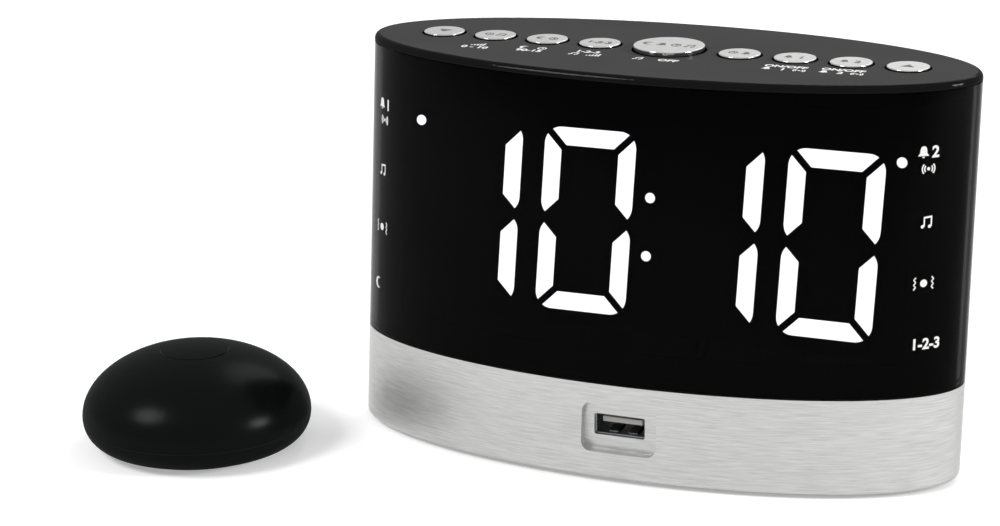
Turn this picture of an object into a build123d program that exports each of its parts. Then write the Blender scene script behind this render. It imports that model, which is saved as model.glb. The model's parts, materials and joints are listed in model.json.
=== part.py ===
"""Bed shaker alarm clock: a leaning oval clock with nine top buttons, and a round bed shaker.

Millimetres, +Z up. The origin is on the table, under the middle of the box that holds the clock
and the shaker. The front of the clock faces -Y. Both are drawn round the middle of the clock's
base and moved to the origin as they are written. The clock leans back, so its parts are placed by
their height and by their distance in front of or behind its leaning middle plane. The shaker has
its own middle.
"""
import os
from math import asin, cos, degrees, radians, sin, sqrt, tan

from build123d import *

# Case of the clock
case_width = 154.3
case_depth = 61.6
case_height = 97.0
top_setback = 9.8
foot_stand = 1.0
case_wall = 2.0
band_height = 23.0
band_wall = 1.5
band_edge_radius = 1.2
cover_rim = 2.1
cover_edge_radius = 1.5
cover_shadow_gap = 0.3
cover_lip_drop = 3.0
cover_lip_wall = 1.2
seam_behind_middle = 6.0
running_gap = 0.1
overrun = 5.0

# Inner frame behind the window
frame_wall = 1.6
frame_lip_drop = 2.5
frame_past_seam = 3.0
frame_top_gap = 0.3
opening_margin = 0.5
web_thickness = 2.0
web_inner_left_inset = 21.15
web_inner_right_inset = 19.15
web_below_reflector_top = 0.1

# Display
display_front_share = 0.4545
display_offset = 1.265
digit_height_share = 0.8536
digit_width_share = 0.18561
digit_drop = 0.2
digit_slant_deg = 1.95
inner_digit_share = 0.12725
outer_digit_share = 0.35854
stroke = 4.4
segment_gap = 1.74
digit_corner_radius = 4.2
waist_reach = 4.7
colon_share = 0.1354
light_radius = 1.25
indicator_share = 0.47984
indicator_drop = 5.45
indicator_pitch_share = 0.27567
indicator_rows = 4
reflector_left_inset = 15.65
reflector_right_inset = 12.15
reflector_above_band = 8.0
reflector_below_cover = 11.3
reflector_depth = 8.0
segment_depth = 6.0
board_thickness = 1.6
display_board_left_inset = 9.65
display_board_right_inset = 6.65
display_board_margin_low = 0.5
display_board_margin_high = 0.3
display_screw_left_margin = 3.1
display_screw_right_margin = 2.6
display_screw_from_low_edge = 5.0
display_screw_from_high_edge = 3.4

# Top buttons
small_button_radius = 5.1
small_button_stand = 0.5
big_button_radius = 8.7
big_button_stand = 1.2
buttons_each_side = 4
button_spacing_share = 0.17913
first_button_share = 0.23202
button_row_forward = 0.3
button_row_right = 0.2
button_hole_gap = 0.5
button_flange_overlap = 1.1
button_flange_height = 0.9
button_edge_radius = 0.25
button_travel = 0.5
button_slack = 0.05
button_stem_radius = 2.2
switch_size = 6.0
switch_body_height = 3.4
switch_plunger_height = 0.9
switch_plunger_radius = 1.7
key_board_past_last_button = 4.64
key_board_width_share = 0.35714
key_boss_radius = 2.5
key_boss_from_edge = 2.5
key_boss_inner_steps = 0.5
key_boss_outer_steps = 2.5
button_stem_length = 0.4

# Screws
case_screw_radius = 1.3
case_screw_length = 10.0
case_screw_head_radius = 2.4
case_screw_head_height = 1.8
board_screw_radius = 1.0
board_screw_length = 4.6
board_screw_head_radius = 1.8
board_screw_head_height = 1.2
screw_slot_width = 0.6
screw_slot_depth = 0.6
screw_head_edge_share = 0.33
screw_gap = 0.04
screw_way_gap = 0.2
screw_head_gap = 0.3

# Rear cabinet
rear_screw_inset = 16.15
rear_screw_above_band = 16.0
rear_screw_below_cover = 18.4
rear_boss_meeting = 8.0
rear_boss_radius = 4.2
rear_screw_seat = 3.0
frame_boss_radius = 3.2
speaker_face_inset = 1.3
speaker_ring_radius = 26.0
speaker_ring_wall = 3.0
grille_radius = 21.0
grille_pitch = 4.4
grille_slot = 1.8
grille_rows_each_way = 4
grille_rib = 2.4

# Speaker
speaker_flange_radius = 25.0
speaker_flange_thickness = 1.2
basket_wall = 0.8
basket_mouth_radius = 22.0
basket_neck_radius = 14.0
basket_depth = 8.8
magnet_radius = 15.0
magnet_height = 7.5
cone_mouth_radius = 21.4
cone_neck_radius = 6.0
cone_depth = 6.0
cone_thickness = 0.6
cone_cap_rise = 2.0
cone_gap = 0.3
terminal_width = 9.0
terminal_height = 6.5
terminal_seat = 2.0
terminal_thickness = 1.2
lead_radius = 0.6
lead_spacing = 2.6
lead_end_gap = 0.3

# Base
base_plate_recess = 0.6
base_plate_thickness = 2.0
ledge_height = 1.2
ledge_width = 2.1
post_radius = 3.0
side_post_share = 0.80363
front_post_share = 0.51847
front_post_forward_share = 0.60065
post_overlap_height = 4.0
post_rib = 2.0
plate_boss_radius = 4.0
plate_boss_rise = 1.8
foot_radius = 5.0
foot_recess = 0.4
foot_share = 0.62216
foot_forward_share = 0.45455
foot_edge_radius = 0.4
cell_radius = 10.0
cell_height = 3.2
cell_gap = 0.3
cell_left_of_middle = 4.0
cell_behind_middle = 4.0
cell_cup_wall = 1.4
contact_thickness = 0.3
contact_width = 3.0
door_length = 34.0
door_width = 25.0
door_thickness = 1.4
door_corner_radius = 2.0
door_gap = 0.15
door_screw_from_end = 4.0
door_boss_radius = 3.0
door_boss_rise = 3.4

# Charging socket in the front of the band
pocket_width = 18.9
pocket_height = 12.0
pocket_corner_radius = 2.4
pocket_middle_x = 1.4
pocket_middle_height = 13.4
pocket_depth = 3.2
bezel_wall = 1.2
usb_above_pocket_middle = 0.3
usb_left_of_pocket_middle = 0.36
usb_hole_width = 12.8
usb_hole_height = 5.3
usb_hole_corner_radius = 0.5
usb_shell_width = 13.1
usb_shell_height = 5.7
usb_shell_wall = 0.3
usb_shell_length = 14.0
usb_tongue_width = 10.0
usb_tongue_height = 1.2
usb_tongue_from_top = 1.3
usb_tongue_setback = 1.0
usb_block_length = 3.0
usb_seat_gap = 0.05

# Main board
main_board_half_length = 36.0
main_board_front_inset = 19.8
main_board_back_inset = 9.8
main_board_nose_inset = 5.8
main_board_nose_half_width = 9.5
main_post_radius = 2.8
main_screw_from_edge = 3.0
main_screw_back_x = 18.0
jack_x = 28.0
jack_width = 9.0
jack_height = 9.2
jack_axis_above_board = 4.9
jack_length = 14.0
jack_face_inset = 3.8
jack_collar_radius = 4.0
jack_collar_reach = 2.6
jack_hole_gap = 0.2
jack_bore_radius = 2.9
jack_bore_depth = 9.0
jack_pin_radius = 1.05
jack_pin_setback = 1.5
main_chip = 12.0
small_chip = 6.0
chip_height = 1.6
chip_places = ((-14.0, 4.0, main_chip), (4.0, -6.0, small_chip), (-8.0, -6.0, small_chip))
header_height = 4.0
header_depth = 3.4
ribbon_thickness = 0.8
ribbon_side_margin = 1.0
key_ribbon_left = -34.0
key_ribbon_right = -22.0
key_ribbon_middle = 8.8
display_ribbon_left = 14.0
display_ribbon_right = 28.0
display_header_from_edge = 1.5
lead_header_x = 6.0
lead_header_width = 9.0
lead_header_from_back = 6.0
capacitor_places = ((-26.0, -4.0), (24.0, 6.0), (-16.0, 16.0))
capacitor_radius = 4.0
capacitor_height = 11.0
capacitor_edge_radius = 0.5

# Bed shaker
shaker_diameter = 57.0
shaker_height = 25.0
shaker_x = -107.0
shaker_y = -39.5
shaker_turn_deg = 7.6
shaker_wall = 1.8
shaker_waist = 8.0
shaker_parting = 7.0
shaker_stand = 1.0
shaker_heel_run = 6.5
shaker_parting_gap = 0.25
shaker_lip_height = 1.5
shaker_lip_wall = 1.0
shaker_lip_root = 2.5
shaker_pad_radius = 21.0
shaker_pad_recess = 0.4
shaker_pad_gap = 0.1
shaker_button_radius = 8.4
shaker_button_gap = 0.2
shaker_button_travel = 0.5
shaker_button_flange = 0.9
shaker_button_flange_overlap = 1.2
shaker_button_rise = 0.15
shaker_board_radius = 14.6
shaker_board_top = 18.6
shaker_board_thickness = 1.2
shaker_switch_size = 6.0
shaker_switch_body = 0.9
shaker_switch_plunger = 0.6
shaker_post_radius = 2.0
shaker_board_screw_x = 12.0
shaker_board_screw_y = 3.0
shaker_board_screw_length = 2.8
light_pipe_radius = 1.2
light_pipe_from_middle = 12.0
light_pipe_gap = 0.1
motor_radius = 6.8
motor_length = 24.0
motor_left = -17.0
motor_y = -9.0
motor_level = 9.9
motor_edge_radius = 1.0
motor_boss_radius = 3.0
motor_boss_length = 1.2
saddle_thickness = 2.0
saddle_places = (-14.0, 3.0)
saddle_gap = 0.05
saddle_drop_share = 0.33
clamp_gap = 0.2
clamp_share = 0.5
shaft_radius = 1.0
shaft_gap = 0.04
shaft_inside = 10.0
shaft_outside = 9.6
weight_radius = 6.4
weight_length = 6.0
weight_stand_off = 1.2
weight_hub_radius = 2.4
battery_half_length = 13.0
battery_front = 2.0
battery_back = 15.0
battery_height = 7.0
battery_edge_radius = 1.0
battery_rib = 1.2
battery_rib_height = 3.0
battery_gap = 0.2
charge_board_half_width = 7.0
charge_board_front = 16.6
charge_board_back = 25.2
charge_board_thickness = 1.0
charge_board_low = 8.6
charge_socket_width = 7.6
charge_socket_height = 2.8
charge_socket_length = 5.6
charge_socket_wall = 0.35
charge_socket_reach = 1.4
charge_tongue_height = 0.7
charge_tongue_width = 4.2
charge_tongue_setback = 0.6
charge_hole_gap = 0.25
charge_post_half_spacing = 5.0
charge_post_radius = 1.4
charge_post_y = 18.4
shaker_screw_places = ((0.0, -19.5), (17.4, 8.7), (-17.4, 8.7))
shaker_screw_post_radius = 2.6
shaker_screw_length = 6.0
shaker_screw_seat = 2.4

# Levels and half sizes that follow from the sizes above
case_half_width = case_width / 2
case_half_depth = case_depth / 2
base_level = foot_stand
band_top = base_level + band_height
case_top = base_level + case_height
cover_low = case_top - cover_rim
plate_low = base_level + base_plate_recess
plate_top = plate_low + base_plate_thickness
frame_outside = case_wall + running_gap
frame_inside = frame_outside + frame_wall
frame_low = band_top - frame_lip_drop
frame_high = cover_low - cover_lip_drop - frame_top_gap
web_inner_left = web_inner_left_inset - case_half_width
web_inner_right = case_half_width - web_inner_right_inset
display_front = -case_half_depth * display_front_share
reflector_left = reflector_left_inset - case_half_width
reflector_right = case_half_width - reflector_right_inset
reflector_low = band_top + reflector_above_band
reflector_high = cover_low - reflector_below_cover
display_width = reflector_right - reflector_left
display_height = reflector_high - reflector_low
web_top = reflector_high - web_below_reflector_top
digit_height = display_height * digit_height_share
digit_width = display_width * digit_width_share
digit_middle = (reflector_low + reflector_high) / 2 - digit_drop
inner_digit_spacing = display_width * inner_digit_share
outer_digit_spacing = display_width * outer_digit_share
colon_half_spacing = display_height * colon_share
indicator_spacing = display_width * indicator_share
indicator_top = reflector_high - indicator_drop
indicator_pitch = display_height * indicator_pitch_share
display_board_left = display_board_left_inset - case_half_width
display_board_right = case_half_width - display_board_right_inset
display_board_low = reflector_low - display_board_margin_low
display_board_high = reflector_high + display_board_margin_high
display_screw_left = reflector_left - display_screw_left_margin
display_screw_right = reflector_right + display_screw_right_margin
display_screw_low = display_board_low + display_screw_from_low_edge
display_screw_high = display_board_high - display_screw_from_high_edge
display_screw_heights = (display_screw_low, display_screw_high)
display_header_low = display_board_low + display_header_from_edge
button_spacing = case_half_width * button_spacing_share
first_button_from_middle = case_half_width * first_button_share
last_button_from_middle = first_button_from_middle + button_spacing * (buttons_each_side - 1)
key_board_half_length = last_button_from_middle + key_board_past_last_button
key_board_half_width = case_half_depth * key_board_width_share
key_boss_from_row = key_board_half_width - key_boss_from_edge
key_boss_inner = first_button_from_middle + button_spacing * key_boss_inner_steps
key_boss_outer = first_button_from_middle + button_spacing * key_boss_outer_steps
rear_screw_from_middle = case_half_width - rear_screw_inset
rear_screw_heights = (band_top + rear_screw_above_band, cover_low - rear_screw_below_cover)
speaker_height = (band_top + cover_low) / 2
speaker_face = case_half_depth - speaker_face_inset
side_post_from_middle = case_half_width * side_post_share
front_post_from_middle = case_half_width * front_post_share
front_post_forward = case_half_depth * front_post_forward_share
foot_from_middle = case_half_width * foot_share
foot_from_axis = case_half_depth * foot_forward_share
pocket_floor = pocket_depth - case_half_depth
main_board_front = main_board_front_inset - case_half_depth
main_board_back = case_half_depth - main_board_back_inset
main_board_nose = main_board_nose_inset - case_half_depth
main_screw_x = main_board_half_length - main_screw_from_edge
main_screw_front = main_board_front + main_screw_from_edge
main_screw_back = main_board_back - main_screw_from_edge
main_screw_places = (
    (-main_screw_x, main_screw_front),
    (main_screw_x, main_screw_front),
    (-main_screw_x, main_screw_back),
    (main_screw_back_x, main_screw_back),
)
jack_face = case_half_depth - jack_face_inset
jack_back = jack_face - jack_length
lead_header_y = main_board_back - lead_header_from_back
reflector_back = display_front + reflector_depth
web_front = reflector_back + board_thickness
web_back = web_front + web_thickness
usb_level = pocket_middle_height + usb_above_pocket_middle
usb_middle_x = pocket_middle_x - usb_left_of_pocket_middle
main_board_top = usb_level - usb_shell_height / 2
main_board_low = main_board_top - board_thickness
flange_high = cover_low - running_gap
flange_low = flange_high - button_flange_height
plunger_top = flange_low - button_travel - button_slack - button_stem_length
key_board_top = plunger_top - switch_plunger_height - switch_body_height
key_board_low = key_board_top - board_thickness
post_low = plate_top + plate_boss_rise


def setback(height):
    """How far back the leaning middle plane lies at a height above the table."""
    return (height - base_level) * top_setback / case_height


button_row = setback(case_top) - button_row_forward
shaker_radius = shaker_diameter / 2
whole_left = min(-case_half_width, shaker_x - shaker_radius)
whole_right = max(case_half_width, shaker_x + shaker_radius)
whole_front = min(-case_half_depth, shaker_y - shaker_radius)
whole_back = max(case_half_depth + setback(cover_low), shaker_y + shaker_radius)


def ring_at(height, inset):
    """Oval outline of the case at a height, moved inwards by an inset."""
    place = Plane((0, setback(height), height))
    return place * Ellipse(case_width / 2 - inset, case_depth / 2 - inset)


def oval_column(inset, low, high):
    """Leaning oval column between two heights."""
    lean = Vector(0, setback(high) - setback(low), high - low)
    return extrude(ring_at(low, inset), amount=lean.length, dir=lean.normalized())


def oval_shell(inset, wall, low, high):
    """Leaning oval tube, open at both ends."""
    return oval_column(inset, low, high) - oval_column(inset + wall, low - overrun, high + overrun)


def block(left, right, front, back, low, high):
    """Upright block between six faces."""
    size = Box(right - left, back - front, high - low)
    return Pos((left + right) / 2, (front + back) / 2, (low + high) / 2) * size


def leaning_block(left, right, front, back, low, high):
    """Block whose front and back follow the lean of the case."""
    corners = [
        (left, front + setback(low), low),
        (left, back + setback(low), low),
        (left, back + setback(high), high),
        (left, front + setback(high), high),
    ]
    side = Face(Wire.make_polygon([Vector(*corner) for corner in corners], close=True))
    return extrude(side, amount=right - left, dir=(1, 0, 0))


def drum(radius, low, high, x=0, y=0):
    """Upright cylinder."""
    return Pos(x, y, (low + high) / 2) * Cylinder(radius, high - low)


def rod(radius, front, back, x, height):
    """Cylinder lying from front to back."""
    return Pos(x, (front + back) / 2, height) * Rot(90, 0, 0) * Cylinder(radius, back - front)


def rounded_bar(width, height, corner_radius, front, back, x, middle_height):
    """Rounded rectangle seen from the front, run from front to back."""
    outline = Plane((x, front, middle_height), x_dir=(1, 0, 0), z_dir=(0, -1, 0))
    face = outline * RectangleRounded(width, height, corner_radius)
    return extrude(face, amount=back - front, dir=(0, 1, 0))


def rod_between(start, end, radius):
    """Thin round rod from one point to another."""
    way = Vector(*end) - Vector(*start)
    return extrude(Plane(start, z_dir=way.normalized()) * Circle(radius), amount=way.length)


def screw(radius, length, head_radius, head_height):
    """Pan-head screw standing on its tip, with its seat at the origin and a crossed slot."""
    shank = drum(radius, -length, 0)
    head = drum(head_radius, 0, head_height)
    head = fillet(head.edges().sort_by(Axis.Z)[-1], head_height * screw_head_edge_share)
    slot_length = head_radius * 2 - screw_slot_width * 2
    slot = Pos(0, 0, head_height) * Box(slot_length, screw_slot_width, screw_slot_depth * 2)
    return shank + head - slot - Rot(0, 0, 90) * slot


def case_screw():
    """Self-tapping screw that holds the case together."""
    return screw(case_screw_radius, case_screw_length, case_screw_head_radius, case_screw_head_height)


def board_screw(length=board_screw_length):
    """Small screw that holds a circuit board."""
    return screw(board_screw_radius, length, board_screw_head_radius, board_screw_head_height)


def button_places():
    """Middle, radius and height above the cover of the nine buttons, from left to right."""
    outwards = [first_button_from_middle + button_spacing * step for step in range(buttons_each_side)]
    left = [(button_row_right - x, small_button_radius, small_button_stand) for x in reversed(outwards)]
    right = [(button_row_right + x, small_button_radius, small_button_stand) for x in outwards]
    return left + [(button_row_right, big_button_radius, big_button_stand)] + right


def key_boss_places():
    """Bosses under the cover that carry the button board."""
    places = []
    for x, side in ((-key_boss_outer, 1), (-key_boss_inner, -1), (key_boss_inner, -1), (key_boss_outer, 1)):
        places.append((button_row_right + x, button_row + side * key_boss_from_row))
    return places


def top_cover():
    """Oval lid with a rounded rim, a locating lip, nine button holes and four bosses."""
    middle = Pos(0, setback(cover_low), cover_low)
    half_width = case_width / 2
    half_depth = case_depth / 2
    lid = middle * extrude(Ellipse(half_width, half_depth), amount=cover_rim)
    lid = fillet(lid.edges().group_by(Axis.Z)[-1], cover_edge_radius)
    lid = chamfer(lid.edges().group_by(Axis.Z)[0], cover_shadow_gap)
    lip_low = cover_low - cover_lip_drop
    lid += oval_shell(frame_outside, cover_lip_wall, lip_low, cover_low)
    for x, radius, _ in button_places():
        lid -= drum(radius + button_hole_gap, lip_low, case_top + overrun, x, button_row)
    for x, y in key_boss_places():
        lid += drum(key_boss_radius, key_board_top, cover_low, x, y)
        pilot_top = key_board_low + board_screw_length + screw_way_gap
        lid -= drum(board_screw_radius + screw_gap, key_board_low, pilot_top, x, y)
    return lid


def front_window():
    """Smoked front wall that wraps round to the seam behind the sides."""
    wall = oval_shell(0, case_wall, band_top, cover_low)
    reach = case_width
    return wall & leaning_block(-reach, reach, -case_depth, seam_behind_middle, band_top, cover_low)


def seat_height(height):
    """Where the two halves of a rear screw's bosses meet."""
    return setback(height) + rear_boss_meeting


def rear_screw_places():
    """The four screws through the rear cabinet."""
    return [
        (side * rear_screw_from_middle, height)
        for side in (-1, 1)
        for height in rear_screw_heights
    ]


def speaker_ring(depth_front):
    """Ring inside the rear wall that the speaker's flange is glued to."""
    back = case_depth
    outer = rod(speaker_ring_radius, depth_front, back, 0, speaker_height)
    inner_radius = speaker_ring_radius - speaker_ring_wall
    inner = rod(inner_radius, depth_front - overrun, back + overrun, 0, speaker_height)
    inside = oval_column(case_wall / 2, band_top, cover_low)
    return (outer - inner) & inside


def grille_cuts():
    """Slots through the rear wall behind the speaker, split by a middle rib."""
    cuts = []
    for row in range(-grille_rows_each_way, grille_rows_each_way + 1):
        height = speaker_height + row * grille_pitch
        half = sqrt(grille_radius ** 2 - (row * grille_pitch) ** 2)
        low = height - grille_slot / 2
        high = height + grille_slot / 2
        for side in (-1, 1):
            near = side * grille_rib / 2
            far = side * half
            left = min(near, far)
            right = max(near, far)
            cuts.append(block(left, right, speaker_face - overrun, case_depth, low, high))
    return cuts


def rear_cabinet():
    """Back wall with the speaker grille and the four screw bosses."""
    wall = oval_shell(0, case_wall, band_top, cover_low)
    reach = case_width
    behind_seam = leaning_block(-reach, reach, seam_behind_middle, case_depth, band_top, cover_low)
    cabinet = wall & behind_seam
    inside = oval_column(case_wall / 2, band_top, cover_low)
    for x, height in rear_screw_places():
        meeting = seat_height(height)
        cabinet += rod(rear_boss_radius, meeting, case_depth, x, height) & inside
    cabinet += speaker_ring(speaker_face)
    for x, height in rear_screw_places():
        meeting = seat_height(height)
        seat = meeting + rear_screw_seat
        cabinet -= rod(case_screw_radius + screw_way_gap, meeting - overrun, seat + overrun, x, height)
        cabinet -= rod(case_screw_head_radius + screw_head_gap, seat, case_depth, x, height)
    for cut in grille_cuts():
        cabinet -= cut
    return cabinet


def side_web(left, right):
    """Upright web at one side of the frame, which the display board is screwed to."""
    web = leaning_block(left, right, web_front, web_back, frame_low, web_top)
    return web & oval_column(frame_outside + frame_wall / 2, frame_low, frame_high)


def front_post_y():
    """Front to back place of the two front posts."""
    return setback(band_top) - front_post_forward


def side_post_y():
    """Front to back place of the two side posts, under the middle of the webs."""
    return setback(band_top) + (web_front + web_back) / 2


def post_places():
    """Posts of the frame that the base plate's screws go up into."""
    sides = [(side * side_post_from_middle, side_post_y()) for side in (-1, 1)]
    fronts = [(side * front_post_from_middle, front_post_y()) for side in (-1, 1)]
    return sides + fronts


def display_screw_places():
    """The four screws that hold the display board to the webs."""
    sides = (display_screw_left, display_screw_right)
    return [(x, height) for x in sides for height in display_screw_heights]


def front_frame():
    """Inner frame: a shell round the display, two webs, four posts and four screw bosses."""
    shell = oval_shell(frame_outside, frame_wall, frame_low, frame_high)
    back = seam_behind_middle + frame_past_seam
    shell &= leaning_block(-case_width, case_width, -case_depth, back, frame_low, frame_high)
    shell -= leaning_block(
        reflector_left - opening_margin,
        reflector_right + opening_margin,
        -case_depth,
        reflector_back,
        reflector_low - opening_margin,
        reflector_high + opening_margin,
    )
    frame = shell + side_web(-case_width / 2, web_inner_left) + side_web(web_inner_right, case_width / 2)
    post_high = band_top + post_overlap_height
    for x, y in post_places():
        frame += drum(post_radius, post_low, post_high, x, y)
    inside = oval_column(frame_outside + frame_wall / 2, frame_low, frame_high)
    for side in (-1, 1):
        x = side * front_post_from_middle
        rib = block(x - post_rib / 2, x + post_rib / 2, -case_depth, front_post_y(), frame_low, post_high)
        frame += rib & inside
    for x, height in rear_screw_places():
        middle_of_web = setback(height) + (web_front + web_back) / 2
        frame += rod(frame_boss_radius, middle_of_web, seat_height(height), x, height)
    for x, height in rear_screw_places():
        tip = seat_height(height) + rear_screw_seat - case_screw_length - screw_head_gap
        frame -= rod(case_screw_radius + screw_gap, tip, seat_height(height) + overrun, x, height)
    for x, y in post_places():
        pilot_top = post_low + case_screw_length
        frame -= drum(case_screw_radius + screw_gap, post_low - overrun, pilot_top, x, y)
    for x, height in display_screw_places():
        front = setback(height) + reflector_back
        back = front + board_screw_length + screw_head_gap
        frame -= rod(board_screw_radius + screw_gap, front, back, x, height)
    return frame


def base_band():
    """Silver wrap round the base, with a rounded lower edge, a ledge, and two openings."""
    steps = 4
    rings = []
    for step in range(steps + 1):
        turn = radians(90 * step / steps)
        height = base_level + band_edge_radius * (1 - cos(turn))
        rings.append(ring_at(height, band_edge_radius * (1 - sin(turn))))
    rings.append(ring_at(band_top, 0))
    band = loft(rings, ruled=True)
    band -= oval_column(band_wall, base_level - overrun, band_top + overrun)
    band += oval_shell(band_wall / 2, band_wall / 2 + ledge_width, plate_top, plate_top + ledge_height)
    band -= rounded_bar(
        pocket_width,
        pocket_height,
        pocket_corner_radius,
        -case_depth,
        pocket_floor + bezel_wall,
        pocket_middle_x,
        pocket_middle_height,
    )
    jack_axis = main_board_top + jack_axis_above_board
    band -= rod(jack_collar_radius + jack_hole_gap, jack_back, case_depth, jack_x, jack_axis)
    return band


def usb_bezel():
    """Floor and sides of the recess round the charging socket, glued behind the band."""
    outer = rounded_bar(
        pocket_width + 2 * bezel_wall,
        pocket_height + 2 * bezel_wall,
        pocket_corner_radius + bezel_wall,
        -case_depth,
        pocket_floor + bezel_wall,
        pocket_middle_x,
        pocket_middle_height,
    )
    bezel = outer & oval_column(band_wall, base_level, band_top)
    bezel -= rounded_bar(
        pocket_width,
        pocket_height,
        pocket_corner_radius,
        -case_depth,
        pocket_floor,
        pocket_middle_x,
        pocket_middle_height,
    )
    return bezel - rounded_bar(
        usb_hole_width,
        usb_hole_height,
        usb_hole_corner_radius,
        -case_depth,
        0,
        usb_middle_x,
        usb_level,
    )


def foot_places():
    """Middles of the four feet."""
    return [(side * foot_from_middle, way * foot_from_axis) for side in (-1, 1) for way in (-1, 1)]


def door_ends():
    """Left and right ends of the battery door."""
    left = -cell_left_of_middle - cell_radius - door_corner_radius
    return left, left + door_length


def door_solid(gap, low, high):
    """Rounded plate of the battery door, or the recess for it."""
    left, right = door_ends()
    outline = RectangleRounded(door_length + 2 * gap, door_width + 2 * gap, door_corner_radius + gap)
    middle = Pos((left + right) / 2, cell_behind_middle, low)
    return middle * extrude(outline, amount=high - low)


def door_screw_place():
    """Middle of the screw in the battery door."""
    return door_ends()[1] - door_screw_from_end, cell_behind_middle


def base_plate():
    """Black bottom plate with screw bosses, board posts, foot recesses and the cell's cup."""
    plate = oval_column(band_wall + running_gap, plate_low, plate_top)
    for x, y in post_places():
        plate += drum(plate_boss_radius, plate_low, post_low, x, y)
    for x, y in main_screw_places:
        plate += drum(main_post_radius, plate_low, main_board_low, x, y)
    cup_radius = cell_radius + cell_gap
    cup_roof = plate_low + door_thickness + cell_height + contact_thickness + cell_gap
    cup_x = -cell_left_of_middle
    cup_high = cup_roof + cell_cup_wall
    plate += drum(cup_radius + cell_cup_wall, plate_low, cup_high, cup_x, cell_behind_middle)
    door_x, door_y = door_screw_place()
    plate += drum(door_boss_radius, plate_low, plate_top + door_boss_rise, door_x, door_y)
    plate -= drum(cup_radius, plate_low - overrun, cup_roof, cup_x, cell_behind_middle)
    plate -= door_solid(door_gap, plate_low - overrun, plate_low + door_thickness)
    door_pilot = plate_low + board_screw_length + screw_head_gap
    plate -= drum(board_screw_radius + screw_gap, plate_low, door_pilot, door_x, door_y)
    seat = plate_low + case_screw_head_height + running_gap
    for x, y in post_places():
        plate -= drum(case_screw_head_radius + screw_head_gap, plate_low - overrun, seat, x, y)
        plate -= drum(case_screw_radius + screw_way_gap, plate_low, post_low + overrun, x, y)
    for x, y in main_screw_places:
        pilot = main_board_top - board_screw_length - screw_head_gap
        plate -= drum(board_screw_radius + screw_gap, pilot, main_board_low + overrun, x, y)
    for x, y in foot_places():
        plate -= drum(foot_radius + running_gap, plate_low - overrun, plate_low + foot_recess, x, y)
    return plate


def rubber_feet():
    """Four round feet glued into recesses under the base plate."""
    foot = drum(foot_radius, 0, plate_low + foot_recess)
    foot = fillet(foot.edges().sort_by(Axis.Z)[0], foot_edge_radius)
    return [Pos(x, y, 0) * foot for x, y in foot_places()]


def battery_door():
    """Lid under the back-up cell, with a countersunk screw hole."""
    high = plate_low + door_thickness
    door = door_solid(0, plate_low, high)
    x, y = door_screw_place()
    door -= drum(board_screw_radius + screw_way_gap, plate_low - overrun, high + overrun, x, y)
    return door


def battery_door_screw():
    """Screw that locks the battery door; its head stands just under the door."""
    x, y = door_screw_place()
    return Pos(x, y, plate_low) * Rot(180, 0, 0) * screw(
        board_screw_radius, board_screw_length, board_screw_head_radius, base_plate_recess / 2
    )


def backup_cell():
    """Coin cell that keeps the time when the mains fails."""
    low = plate_low + door_thickness
    cell = drum(cell_radius, low, low + cell_height, -cell_left_of_middle, cell_behind_middle)
    return fillet(cell.edges().group_by(Axis.Z)[0], contact_thickness)


def cell_contact():
    """Spring strip on the roof of the cup, over the cell."""
    low = plate_low + door_thickness + cell_height + cell_gap
    x = -cell_left_of_middle
    return block(
        x - cell_radius,
        x + cell_radius,
        cell_behind_middle - contact_width / 2,
        cell_behind_middle + contact_width / 2,
        low,
        low + contact_thickness,
    )


def case_screws():
    """Four screws from below into the frame's posts and four from the back into its bosses."""
    seat = plate_low + case_screw_head_height + running_gap
    screws = [Pos(x, y, seat) * Rot(180, 0, 0) * case_screw() for x, y in post_places()]
    for x, height in rear_screw_places():
        y = seat_height(height) + rear_screw_seat
        screws.append(Pos(x, y, height) * Rot(-90, 0, 0) * case_screw())
    return screws


def board_screws():
    """Small screws of the display board, the button board and the main board."""
    screws = []
    for x, height in display_screw_places():
        y = setback(height) + reflector_back - screw_way_gap
        screws.append(Pos(x, y, height) * Rot(90, 0, 0) * board_screw())
    for x, y in key_boss_places():
        screws.append(Pos(x, y, key_board_low) * Rot(180, 0, 0) * board_screw())
    for x, y in main_screw_places:
        screws.append(Pos(x, y, main_board_top) * board_screw())
    return screws


def slanted(x, up):
    """Point of a digit, moved sideways by the slant of the figures."""
    return x + up * tan(radians(digit_slant_deg)), digit_middle + up


def display_column(runs):
    """Prism behind the outline of one segment; a run is one corner, or three points of an arc."""
    edges = []
    for run, following in zip(runs, runs[1:] + runs[:1]):
        if len(run) > 1:
            edges.append(ThreePointArc(*run))
        edges.append(Line(run[-1], following[0]))
    place = Plane((0, -case_depth, 0), x_dir=(1, 0, 0), z_dir=(0, -1, 0))
    return extrude(place * make_face(edges), amount=2 * case_depth, dir=(0, 1, 0))


def bend(x, up, start_deg, end_deg):
    """Start, middle and end of a rounded corner of a figure about a point."""
    turns = [radians(turn) for turn in (start_deg, (start_deg + end_deg) / 2, end_deg)]
    radius = digit_corner_radius
    return [(x + radius * cos(turn), up + radius * sin(turn)) for turn in turns]


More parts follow.
